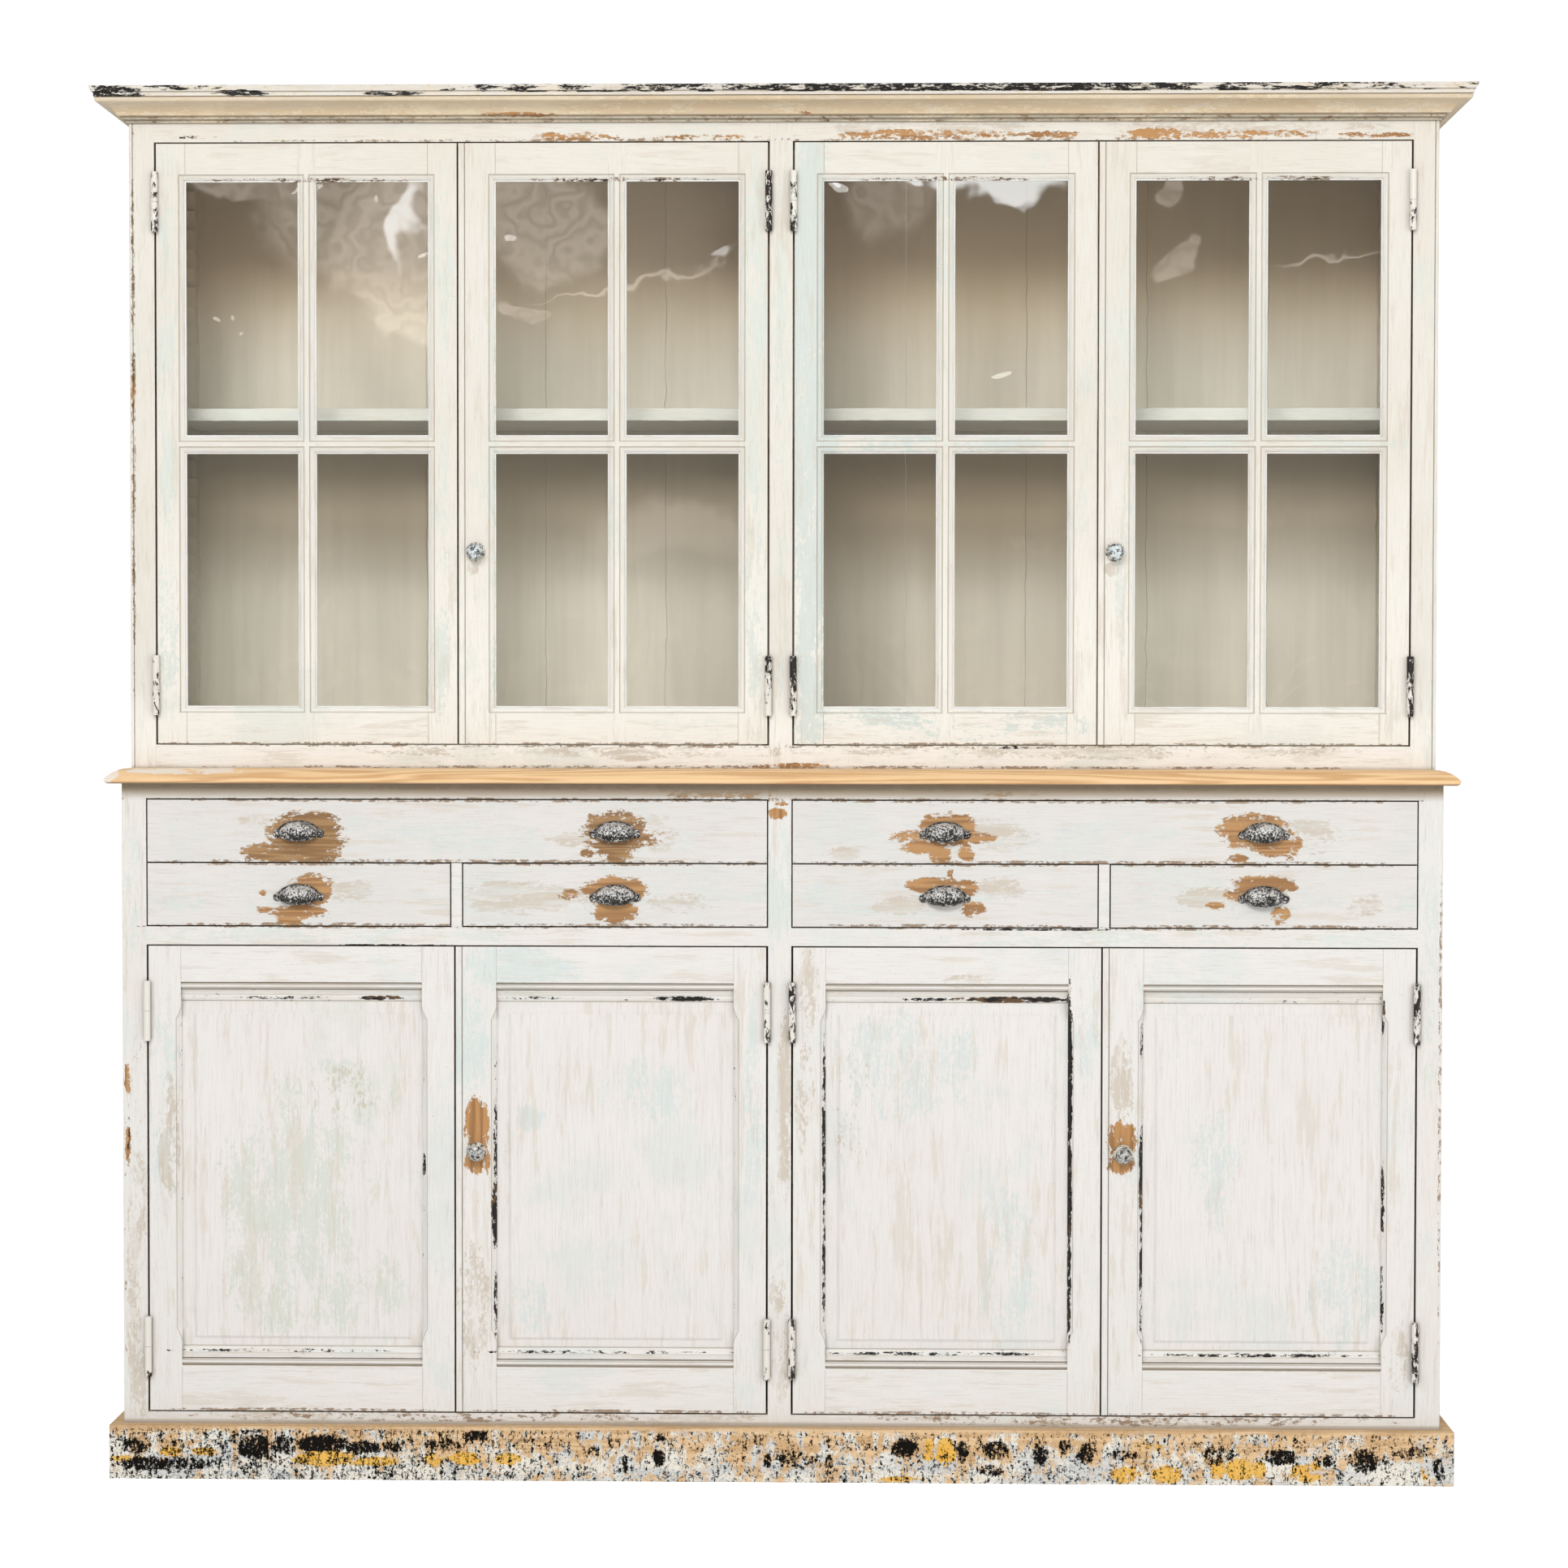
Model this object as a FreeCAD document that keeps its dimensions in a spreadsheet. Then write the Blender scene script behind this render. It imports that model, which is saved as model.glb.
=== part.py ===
# Glazed dresser in two cases: a panelled base with two long and four short drawers,
# and a shallower glazed cupboard standing on its worktop. Painted softwood with iron hinges,
# turned latch knobs and cast cup pulls.
# Millimetres, +Z up, the front looks towards -Y. The origin is on the floor, at the middle
# of the whole outline.
import FreeCAD, Part
import math
import os
from types import SimpleNamespace

import Sketcher
from FreeCAD import Placement, Rotation, Vector

SIZES = {
    # lower case
    "base_width": 2108.0,
    "base_depth": 420.0,
    "base_height": 1115.0,
    "base_stile": 39.0,
    "base_sill_height": 104.5,
    "base_bottom_rail": 60.0,
    "base_top_rail": 24.0,
    "drawer_rail": 29.0,
    "drawer_opening": 205.3,
    "drawer_divider": 17.0,
    "base_shelf_height": 482.0,
    "base_shelf_depth": 300.0,
    # upper case
    "upper_inset": 4.0,
    "upper_height": 1088.0,
    "upper_setback": 55.0,
    "upper_stile": 40.5,
    "upper_sill": 37.0,
    "upper_head": 82.5,
    # boards that both cases share
    "centre_stile": 37.0,
    "frame_thick": 22.0,
    "side_thick": 25.0,
    "partition_thick": 22.0,
    "board_thick": 20.0,
    "back_thick": 12.0,
    "back_joint": 0.4,
    # plinth
    "plinth_height": 86.0,
    "plinth_thick": 20.0,
    # worktop with its thumbnail nose
    "worktop_thick": 24.0,
    "worktop_overhang": 24.0,
    "nose_depth": 34.0,
    "nose_drop": 17.0,
    # cornice moulding, from its lowest member up
    "cornice_height": 52.0,
    "cornice_reach": 54.0,
    "cornice_fillet": 5.0,
    "cornice_fillet_reach": 4.0,
    "cornice_list_reach": 10.0,
    "cove_start": 16.0,
    "cove_end": 41.0,
    "cove_height": 18.0,
    "cove_radius": 28.0,
    "cornice_bead": 8.0,
    "cornice_bead_reach": 44.0,
    "cornice_bead_radius": 5.0,
    "cornice_band": 7.0,
    "cornice_band_reach": 47.0,
    "cornice_top_reach": 50.0,
    # clearances
    "hinge_gap": 3.0,
    "door_gap": 2.0,
    "meeting_gap": 2.5,
    "drawer_gap": 2.0,
    "slide_clearance": 0.3,
    "turn_clearance": 0.08,
    "cut_overrun": 4.0,
    # glazed doors
    "glazed_stile": 47.0,
    "glazed_lock_stile": 59.5,
    "glazed_rail": 61.0,
    "glazing_bar": 30.0,
    "glazed_lip": 12.5,
    "moulding_width": 11.0,
    "moulding_depth": 5.8,
    "moulding_fillet": 2.0,
    "moulding_quirk": 1.2,
    "glass_setback": 12.0,
    "glass_thick": 3.0,
    "glass_rebate": 7.0,
    "glass_clearance": 1.0,
    # line scratched beside the meeting edge of the lock stiles and at the case corners
    "quirk_width": 1.4,
    "quirk_depth": 1.2,
    "quirk_inset": 9.5,
    "corner_quirk_inset": 5.0,
    # panelled doors
    "panel_stile": 52.0,
    "panel_lock_stile": 65.0,
    "panel_top_rail": 89.0,
    "panel_bottom_rail": 104.0,
    "panel_lip": 6.0,
    "panel_setback": 10.0,
    "panel_edge_thick": 8.0,
    "panel_tongue": 6.0,
    "panel_side_margin": 23.0,
    "panel_top_margin": 22.0,
    "panel_foot_margin": 15.5,
    "panel_raise": 2.6,
    "panel_bevel": 4.5,
    "chamfer_leg": 9.0,
    "chamfer_stop": 28.0,
    # bead, hollow and roll worked on the panelled doors' rails
    "rail_moulding": 31.0,
    "rail_quirk": 1.5,
    "rail_quirk_depth": 2.6,
    "rail_bead": 9.0,
    "rail_bead_radius": 5.4,
    "rail_groove": 2.0,
    "rail_groove_depth": 4.4,
    "rail_hollow": 7.0,
    "rail_hollow_depth": 5.2,
    "rail_edge_depth": 9.6,
    # barrel hinges
    "barrel_radius": 5.5,
    "barrel_length": 48.0,
    "hinge_pin_radius": 2.5,
    "hinge_pin_length": 40.0,
    "hinge_pin_bore": 42.0,
    "hinge_play": 0.3,
    "hinge_leaf_thick": 1.3,
    "hinge_leaf_width": 18.0,
    "upper_hinge_inset": 94.0,
    "base_hinge_inset": 104.0,
    # latch knobs
    "knob_plate_radius": 15.5,
    "knob_plate_thick": 2.5,
    "knob_neck_radius": 5.5,
    "knob_neck_length": 11.0,
    "knob_head_radius": 11.5,
    "knob_head_flare": 5.0,
    "knob_head_crown": 7.5,
    "knob_crown_radius": 6.0,
    "knob_spindle_radius": 4.0,
    "latch_hold": 9.0,
    "latch_play": 0.4,
    "latch_tongue_width": 14.0,
    "latch_tongue_thick": 3.0,
    "upper_knob_inset": 27.0,
    "upper_knob_height": 309.0,
    "base_knob_inset": 33.0,
    "base_knob_height": 419.0,
    # drawers
    "drawer_back_gap": 23.0,
    "drawer_front_thick": 20.0,
    "drawer_side_thick": 12.0,
    "drawer_bottom_thick": 7.0,
    "drawer_bottom_lift": 9.0,
    "drawer_groove": 5.0,
    "runner_height": 18.0,
    "runner_lip": 3.0,
    # cup pulls
    "pull_ear_reach": 7.5,
    "pull_ear_thick": 2.4,
    "pull_ear_slope": 2.0,
    "pull_ear_spacing": 68.0,
    "pull_width": 64.0,
    "pull_top_width": 32.0,
    "pull_nose_width": 36.0,
    "pull_reach": 21.0,
    "pull_top_reach": 11.0,
    "pull_crown": 21.0,
    "pull_droop": 13.0,
    "pull_wall": 2.2,
    # shelf racks with saw teeth, and the cleats that lie in them
    "rack_thick": 20.0,
    "rack_depth": 34.0,
    "rack_setback": 3.0,
    "rack_pitch": 32.5,
    "rack_notch": 14.0,
    "rack_first_ledge": 25.5,
    "cleat_height": 18.0,
    "upper_shelf_thick": 20.0,
    "upper_shelf_setback": 118.0,
    "batten_size": 20.0,
}

SHELF_LEDGE_COUNT = 15
BACK_PLANKS = 10
OVOLO_STEPS = 3


class Size:
    """A length that keeps its value together with the sheet formula that gives it."""

    def __init__(self, text, value):
        self.text = text
        self.value = value

    def __add__(self, other):
        other = as_size(other)
        return Size(f"({self.text} + {other.text})", self.value + other.value)

    def __radd__(self, other):
        return as_size(other) + self

    def __sub__(self, other):
        other = as_size(other)
        return Size(f"({self.text} - {other.text})", self.value - other.value)

    def __rsub__(self, other):
        return as_size(other) - self

    def __mul__(self, other):
        other = as_size(other)
        return Size(f"({self.text} * {other.text})", self.value * other.value)

    def __rmul__(self, other):
        return as_size(other) * self

    def __truediv__(self, other):
        other = as_size(other)
        return Size(f"({self.text} / {other.text})", self.value / other.value)

    def __neg__(self):
        return as_size(0) - self


def as_size(value):
    if isinstance(value, Size):
        return value
    return Size(repr(float(value)), float(value))


doc = FreeCAD.newDocument("dresser")
sheet = doc.addObject("Spreadsheet::Sheet", "sizes")
for row, (alias, number) in enumerate(SIZES.items(), start=1):
    sheet.set(f"A{row}", alias.replace("_", " "))
    sheet.set(f"B{row}", str(number))
    sheet.setAlias(f"B{row}", alias)
doc.recompute()

d = SimpleNamespace(**{alias: Size(f"sizes.{alias}", number) for alias, number in SIZES.items()})


def derived(alias, size):
    """Writes a worked-out size into the sheet under its own name."""
    row = len(SIZES) + 2 + len(derived.names)
    derived.names.append(alias)
    sheet.set(f"A{row}", alias.replace("_", " "))
    sheet.set(f"B{row}", "=" + size.text.replace("sizes.", ""))
    sheet.setAlias(f"B{row}", alias)
    return Size(f"sizes.{alias}", size.value)


derived.names = []

# Planes of the whole piece: the knobs of the base stand furthest forward
head_z = derived("head_z", d.knob_plate_thick + d.knob_neck_length)
knob_reach = derived("knob_reach", head_z + d.knob_head_flare + d.knob_head_crown)
total_depth = derived("total_depth", knob_reach + d.base_depth)
front_y = derived("front_y", knob_reach - total_depth / 2)
back_y = derived("back_y", total_depth / 2)
upper_y = derived("upper_y", front_y + d.upper_setback)
inner_back_y = derived("inner_back_y", back_y - d.back_thick)
worktop_z = derived("worktop_z", d.base_height + d.worktop_thick)
top_z = derived("top_z", worktop_z + d.upper_height)
half_partition = derived("half_partition", d.partition_thick / 2)
half_stile = derived("half_stile", d.centre_stile / 2)

# Openings that the doors and drawers close
base_half = derived("base_half", d.base_width / 2)
base_inner = derived("base_inner", base_half - d.side_thick)
base_edge = derived("base_edge", base_half - d.base_stile)
base_opening = derived("base_opening", base_edge - half_stile)
drawer_rail_z = derived(
    "drawer_rail_z", d.base_height - d.base_top_rail - d.drawer_opening - d.drawer_rail
)
drawers_z = derived("drawers_z", drawer_rail_z + d.drawer_rail)
upper_half = derived("upper_half", base_half - d.upper_inset)
upper_inner = derived("upper_inner", upper_half - d.side_thick)
upper_edge = derived("upper_edge", upper_half - d.upper_stile)
upper_opening = derived("upper_opening", upper_edge - half_stile)
upper_sill_z = derived("upper_sill_z", worktop_z + d.upper_sill)
upper_head_z = derived("upper_head_z", top_z - d.upper_head)

nodes = []


def bind(item, **properties):
    """Binds each property to the sheet formula of its size."""
    for name, size in properties.items():
        item.setExpression(name, as_size(size).text)


def place(item, x, y, z, axis=Vector(0, 0, 1), angle=0):
    item.Placement = Placement(Vector(x.value, y.value, z.value), Rotation(axis, angle))
    for name, size in zip("xyz", (x, y, z)):
        item.setExpression(f"Placement.Base.{name}", size.text)


def add(kind, name):
    item = doc.addObject(kind, name)
    item.Label = name
    return item


def block(name, low, size, axis=Vector(0, 0, 1), angle=0):
    """A plain board: its lowest corner and its length, width and height."""
    item = add("Part::Box", name)
    bind(item, Length=size[0], Width=size[1], Height=size[2])
    place(item, *[as_size(value) for value in low], axis, angle)
    return item


def rod(name, radius, height, low, axis=Vector(0, 0, 1), angle=0):
    item = add("Part::Cylinder", name)
    bind(item, Radius=radius, Height=height)
    place(item, *[as_size(value) for value in low], axis, angle)
    return item


def taper(name, near, far, depth, low, axis=Vector(0, 0, 1), angle=0):
    """A solid whose rectangle changes from near to far along Y: (x0, x1, z0, z1) each."""
    item = add("Part::Wedge", name)
    bind(item, Xmin=near[0], Xmax=near[1], Zmin=near[2], Zmax=near[3], Ymin=0, Ymax=depth)
    bind(item, X2min=far[0], X2max=far[1], Z2min=far[2], Z2max=far[3])
    place(item, *[as_size(value) for value in low], axis, angle)
    return item


def cut(name, base, tool):
    item = add("Part::Cut", name)
    item.Base = base
    item.Tool = tool
    return item


def common(name, base, tool):
    item = add("Part::Common", name)
    item.Base = base
    item.Tool = tool
    return item


def joined(name, items):
    item = add("Part::MultiFuse", name)
    item.Shapes = items
    return item


def node(name, items):
    """One named piece, or a set of like pieces as separate solids."""
    item = add("Part::Compound", name)
    item.Links = items
    nodes.append(item)
    return item


def tangent_radius(run, drop):
    """Radius of the arc that starts along its run and falls away by drop at its end."""
    return (run * run + drop * drop) / (2 * drop)


def body_plane(body, role):
    return next(plane for plane in body.Origin.OriginFeatures if plane.Role == role)


def outline(body, name, role, points):
    """A closed sketch on a plane of the body. A point is (x, y), or (x, y, radius, side) where
    an arc leads to it from the point before, bulging to the left (1) or right (-1) of the way."""
    sketch = body.newObject("Sketcher::SketchObject", name)
    sketch.AttachmentSupport = [(body_plane(body, role), "")]
    sketch.MapMode = "FlatFace"
    points = [tuple(as_size(value) for value in point[:3]) + tuple(point[3:]) for point in points]
    count = len(points)
    for index, point in enumerate(points):
        before = points[index - 1]
        start = Vector(before[0].value, before[1].value, 0)
        end = Vector(point[0].value, point[1].value, 0)
        if len(point) == 2:
            sketch.addGeometry(Part.LineSegment(start, end), False)
            continue
        radius = point[2].value
        chord = end - start
        left = Vector(-chord.y, chord.x, 0) * (point[3] / chord.Length)
        sagitta = radius - math.sqrt(radius**2 - (chord.Length / 2) ** 2)
        middle = start + chord / 2 + left * sagitta
        sketch.addGeometry(Part.Arc(start, middle, end), False)
    ends = []
    for index, point in enumerate(points):
        is_arc = len(point) > 2
        clockwise = is_arc and point[3] == 1
        ends.append((2, 1) if clockwise else (1, 2))
    for index, point in enumerate(points):
        after = (index + 1) % count
        sketch.addConstraint(
            Sketcher.Constraint("Coincident", index, ends[index][1], after, ends[after][0])
        )
        for kind, size in (("DistanceX", point[0]), ("DistanceY", point[1])):
            number = sketch.addConstraint(
                Sketcher.Constraint(kind, -1, 1, index, ends[index][1], size.value)
            )
            sketch.setExpression(f"Constraints[{number}]", size.text)
        if len(point) > 2:
            number = sketch.addConstraint(Sketcher.Constraint("Radius", index, point[2].value))
            sketch.setExpression(f"Constraints[{number}]", point[2].text)
    return sketch


def new_body(name):
    return add("PartDesign::Body", name)


def pad(body, name, sketch, length, reverse=False, both_ways=False):
    feature = body.newObject("PartDesign::Pad", name)
    feature.Profile = sketch
    feature.Reversed = reverse
    feature.Midplane = both_ways
    bind(feature, Length=length)
    return feature


def pocket_through(body, name, sketch):
    feature = body.newObject("PartDesign::Pocket", name)
    feature.Profile = sketch
    feature.Type = "ThroughAll"
    feature.Midplane = True
    return feature


# Plinth: mitred boards planted on the front and the sides of the lower case.
plinth_front = taper(
    "plinth_front",
    (0, d.base_width + 2 * d.plinth_thick, 0, d.plinth_height),
    (d.plinth_thick, d.base_width + d.plinth_thick, 0, d.plinth_height),
    d.plinth_thick,
    (-base_half - d.plinth_thick, front_y - d.plinth_thick, 0),
)
plinth_left = taper(
    "plinth_left",
    (0, d.base_depth, 0, d.plinth_height),
    (-d.plinth_thick, d.base_depth, 0, d.plinth_height),
    d.plinth_thick,
    (-base_half, front_y, 0),
    angle=90,
)
plinth_right = taper(
    "plinth_right",
    (-d.base_depth, 0, 0, d.plinth_height),
    (-d.base_depth, d.plinth_thick, 0, d.plinth_height),
    d.plinth_thick,
    (base_half, front_y, 0),
    angle=-90,
)
node("plinth", [plinth_front, plinth_left, plinth_right])

# Lower case: two ends, a centre partition, a floor and a planked back.
carcass_y = front_y + d.frame_thick
base_side_depth = back_y - carcass_y
base_inner_depth = inner_back_y - carcass_y
base_floor_z = d.base_sill_height - d.board_thick
base_bay = base_inner - half_partition
node(
    "base_sides",
    [
        block("base_left_side", (-base_half, carcass_y, 0),
              (d.side_thick, base_side_depth, d.base_height)),
        block("base_right_side", (base_inner, carcass_y, 0),
              (d.side_thick, base_side_depth, d.base_height)),
    ],
)
node(
    "base_partition",
    [block("base_centre_board", (-half_partition, carcass_y, 0),
           (d.partition_thick, base_inner_depth, d.base_height))],
)
node(
    "base_floor",
    [
        block("base_left_floor", (-base_inner, carcass_y, base_floor_z),
              (base_bay, base_inner_depth, d.board_thick)),
        block("base_right_floor", (half_partition, carcass_y, base_floor_z),
              (base_bay, base_inner_depth, d.board_thick)),
    ],
)


def planked_back(name, half_width, low_z, height):
    """Upright planks nailed between the ends of a case."""
    pitch = 2 * half_width / BACK_PLANKS
    planks = [
        block(
            f"{name}_plank_{index + 1}",
            (index * pitch - half_width, inner_back_y, low_z),
            (pitch - d.back_joint, d.back_thick, height),
        )
        for index in range(BACK_PLANKS)
    ]
    node(name, planks)


planked_back("base_back", base_inner, as_size(0), d.base_height)

# Face frame of the lower case: three stiles, and the rails and short dividers between them.
frame_members = [
    block("base_left_stile", (-base_half, front_y, 0),
          (d.base_stile, d.frame_thick, d.base_height)),
    block("base_centre_stile", (-half_stile, front_y, 0),
          (d.centre_stile, d.frame_thick, d.base_height)),
    block("base_right_stile", (base_edge, front_y, 0),
          (d.base_stile, d.frame_thick, d.base_height)),
]
half_run = (base_opening - d.drawer_divider) / 2
for side, left_x in (("left", -base_edge), ("right", half_stile)):
    rails = (
        ("bottom_rail", d.base_sill_height - d.base_bottom_rail, d.base_bottom_rail),
        ("drawer_rail", drawer_rail_z, d.drawer_rail),
        ("top_rail", d.base_height - d.base_top_rail, d.base_top_rail),
    )
    for label, low_z, height in rails:
        frame_members.append(
            block(f"base_{side}_{label}", (left_x, front_y, low_z),
                  (base_opening, d.frame_thick, height))
        )
drawer_height = derived("drawer_height", (d.drawer_opening - 3 * d.drawer_gap) / 2)
divider_height = d.drawer_gap + drawer_height + d.drawer_gap / 2
for side, left_x in (("left", -base_edge), ("right", half_stile)):
    frame_members.append(
        block(f"base_{side}_divider", (left_x + half_run, front_y, drawers_z),
              (d.drawer_divider, d.frame_thick, divider_height))
    )
node("base_face_frame", frame_members)

# One shelf on battens in each lower cupboard.
base_shelf_y = inner_back_y - d.base_shelf_depth
shelves = []
battens = []
for side, left_x in (("left", -base_inner), ("right", half_partition)):
    shelves.append(
        block(f"base_{side}_shelf", (left_x, base_shelf_y, d.base_shelf_height),
              (base_bay, d.base_shelf_depth, d.board_thick))
    )
    for end, batten_x in (("outer", left_x), ("inner", left_x + base_bay - d.batten_size)):
        battens.append(
            block(
                f"base_{side}_{end}_batten",
                (batten_x, base_shelf_y, d.base_shelf_height - d.batten_size),
                (d.batten_size, d.base_shelf_depth, d.batten_size),
            )
        )
node("base_shelves", shelves)

# Drawer runners: a long drawer slides on strips at its two ends only, above the low sides of
# the short drawers. A short drawer slides on a strip at the end and on a shared middle bearer.
lower_run_z = drawers_z + d.drawer_gap - d.slide_clearance - d.runner_height
upper_run_z = lower_run_z + drawer_height + d.drawer_gap
runner_cover = d.drawer_gap + d.drawer_side_thick + d.runner_lip
end_runner = base_inner - base_edge + runner_cover
partition_runner = half_stile - half_partition + runner_cover
bearer_width = d.drawer_divider + 2 * runner_cover
runners = []
for label, low_z in (("lower", lower_run_z), ("upper", upper_run_z)):
    places = (
        ("left_end", -base_inner, end_runner),
        ("left_inner", -half_partition - partition_runner, partition_runner),
        ("right_inner", half_partition, partition_runner),
        ("right_end", base_inner - end_runner, end_runner),
    )
    for place_name, low_x, width in places:
        runners.append(
            block(f"{label}_{place_name}_runner", (low_x, carcass_y, low_z),
                  (width, base_inner_depth, d.runner_height))
        )
for side, left_x in (("left", -base_edge), ("right", half_stile)):
    runners.append(
        block(
            f"{side}_middle_bearer",
            (left_x + half_run - runner_cover, carcass_y, lower_run_z),
            (bearer_width, base_inner_depth, d.runner_height),
        )
    )
node("drawer_runners", runners)

# Worktop: one board whose front and ends are worked to a thumbnail nose. The board is the
# part that its front section and its side section, each run right through, have in common.
worktop_half = base_half + d.worktop_overhang
worktop_depth = d.base_depth + d.worktop_overhang
nose_radius = tangent_radius(d.nose_depth, d.nose_drop)
nose_foot = d.worktop_thick - d.nose_drop
across = new_body("worktop_across")
across_section = outline(
    across,
    "worktop_end_noses",
    "XZ_Plane",
    [
        (d.nose_depth, d.worktop_thick, nose_radius, 1),
        (2 * worktop_half - d.nose_depth, d.worktop_thick),
        (2 * worktop_half, nose_foot, nose_radius, 1),
        (2 * worktop_half - nose_foot, 0, nose_foot, 1),
        (nose_foot, 0),
        (0, nose_foot, nose_foot, 1),
    ],
)
pad(across, "worktop_across_run", across_section, worktop_depth, reverse=True)
place(across, -worktop_half, front_y - d.worktop_overhang, d.base_height)
along = new_body("worktop_along")
along_section = outline(
    along,
    "worktop_front_nose",
    "YZ_Plane",
    [
        (d.nose_depth, d.worktop_thick, nose_radius, 1),
        (worktop_depth, d.worktop_thick),
        (worktop_depth, 0),
        (nose_foot, 0),
        (0, nose_foot, nose_foot, 1),
    ],
)
pad(along, "worktop_along_run", along_section, 2 * worktop_half)
place(along, -worktop_half, front_y - d.worktop_overhang, d.base_height)
node("worktop", [common("worktop_board", across, along)])

# Upper case: two ends, a centre partition, a floor, a roof and a planked back.
upper_carcass_y = upper_y + d.frame_thick
upper_side_depth = back_y - upper_carcass_y
upper_inner_depth = inner_back_y - upper_carcass_y
upper_floor_z = upper_sill_z - d.board_thick
upper_roof_z = top_z - d.board_thick
upper_bay = upper_inner - half_partition
node(
    "upper_sides",
    [
        block("upper_left_side", (-upper_half, upper_carcass_y, worktop_z),
              (d.side_thick, upper_side_depth, d.upper_height)),
        block("upper_right_side", (upper_inner, upper_carcass_y, worktop_z),
              (d.side_thick, upper_side_depth, d.upper_height)),
    ],
)
node(
    "upper_partition",
    [block("upper_centre_board", (-half_partition, upper_carcass_y, worktop_z),
           (d.partition_thick, upper_inner_depth, d.upper_height - d.board_thick))],
)
node(
    "upper_floor",
    [
        block("upper_left_floor", (-upper_inner, upper_carcass_y, upper_floor_z),
              (upper_bay, upper_inner_depth, d.board_thick)),
        block("upper_right_floor", (half_partition, upper_carcass_y, upper_floor_z),
              (upper_bay, upper_inner_depth, d.board_thick)),
    ],
)
node(
    "upper_roof",
    [block("upper_roof_board", (-upper_inner, upper_carcass_y, upper_roof_z),
           (2 * upper_inner, upper_inner_depth, d.board_thick))],
)
planked_back("upper_back", upper_inner, worktop_z, d.upper_height)

# Face frame of the upper case, with a line scratched down each outer corner.
corner_lines = [
    block(f"corner_line_{side}", (line_x, upper_y - d.cut_overrun, worktop_z - d.cut_overrun),
          (d.quirk_width, d.cut_overrun + d.quirk_depth, d.upper_height + 2 * d.cut_overrun))
    for side, line_x in (
        ("left", d.corner_quirk_inset - upper_half),
        ("right", upper_half - d.corner_quirk_inset - d.quirk_width),
    )
]
upper_members = [
    cut("upper_left_stile",
        block("upper_left_stile_blank", (-upper_half, upper_y, worktop_z),
              (d.upper_stile, d.frame_thick, d.upper_height)),
        corner_lines[0]),
    block("upper_centre_stile", (-half_stile, upper_y, worktop_z),
          (d.centre_stile, d.frame_thick, d.upper_height)),
    cut("upper_right_stile",
        block("upper_right_stile_blank", (upper_edge, upper_y, worktop_z),
              (d.upper_stile, d.frame_thick, d.upper_height)),
        corner_lines[1]),
]
for side, left_x in (("left", -upper_edge), ("right", half_stile)):
    for label, low_z, height in (
        ("sill", worktop_z, d.upper_sill),
        ("head", upper_head_z, d.upper_head),
    ):
        upper_members.append(
            block(f"upper_{side}_{label}", (left_x, upper_y, low_z),
                  (upper_opening, d.frame_thick, height))
        )
node("upper_face_frame", upper_members)

# Cornice: a front moulding mitred to two returns that run to the back.
bead_z = 2 * d.cornice_fillet + d.cove_height
band_z = bead_z + d.cornice_bead
crest_z = band_z + d.cornice_band


def cornice_run(name, wall_length, mitre_start, mitre_end):
    """A length of the moulding. Its wall side lies on the X axis and its face looks to -Y."""
    body = new_body(name)
    start = d.cornice_reach if mitre_start else as_size(0)
    end = start + wall_length
    section = outline(
        body,
        f"{name}_section",
        "YZ_Plane",
        [
            (0, 0),
            (0, d.cornice_height),
            (-d.cornice_reach, d.cornice_height),
            (-d.cornice_top_reach, crest_z),
            (-d.cornice_band_reach, crest_z),
            (-d.cornice_band_reach, band_z),
            (-d.cornice_bead_reach, band_z),
            (-d.cornice_bead_reach, bead_z, d.cornice_bead_radius, -1),
            (-d.cove_end, bead_z),
            (-d.cove_start, 2 * d.cornice_fillet, d.cove_radius, 1),
            (-d.cornice_list_reach, 2 * d.cornice_fillet),
            (-d.cornice_list_reach, d.cornice_fillet),
            (-d.cornice_fillet_reach, d.cornice_fillet),
            (-d.cornice_fillet_reach, 0),
        ],
    )
    length = end + d.cornice_reach if mitre_end else end
    pad(body, f"{name}_run", section, length)
    over = d.cut_overrun
    if mitre_start:
        corner = outline(
            body,
            f"{name}_start_mitre",
            "XY_Plane",
            [(start + over, over), (-over, over), (-over, -d.cornice_reach - over)],
        )
        pocket_through(body, f"{name}_start_cut", corner)
    if mitre_end:
        corner = outline(
            body,
            f"{name}_end_mitre",
            "XY_Plane",
            [
                (end - over, over),
                (length + over, -d.cornice_reach - over),
                (length + over, over),
            ],
        )
        pocket_through(body, f"{name}_end_cut", corner)
    return body


cornice_z = top_z - d.cornice_height
return_length = back_y - upper_y
cornice_front = cornice_run("cornice_front", 2 * upper_half, True, True)
place(cornice_front, -upper_half - d.cornice_reach, upper_y, cornice_z)
cornice_left = cornice_run("cornice_left_return", return_length, False, True)
place(cornice_left, -upper_half, back_y, cornice_z, angle=-90)
cornice_right = cornice_run("cornice_right_return", return_length, True, False)
place(cornice_right, upper_half, upper_y - d.cornice_reach, cornice_z, angle=90)
node("cornice", [cornice_front, cornice_left, cornice_right])

# Shelf racks: upright saw-tooth posts in pairs. Cleats lie across the ledges of each pair
# and carry the shelf, which runs back between the posts.
rack_height = upper_roof_z - upper_sill_z
rack_front_y = upper_carcass_y + d.rack_setback
rack_back_y = inner_back_y - d.rack_depth
rack_teeth = int((rack_height.value - SIZES["rack_first_ledge"]) // SIZES["rack_pitch"])


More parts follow.
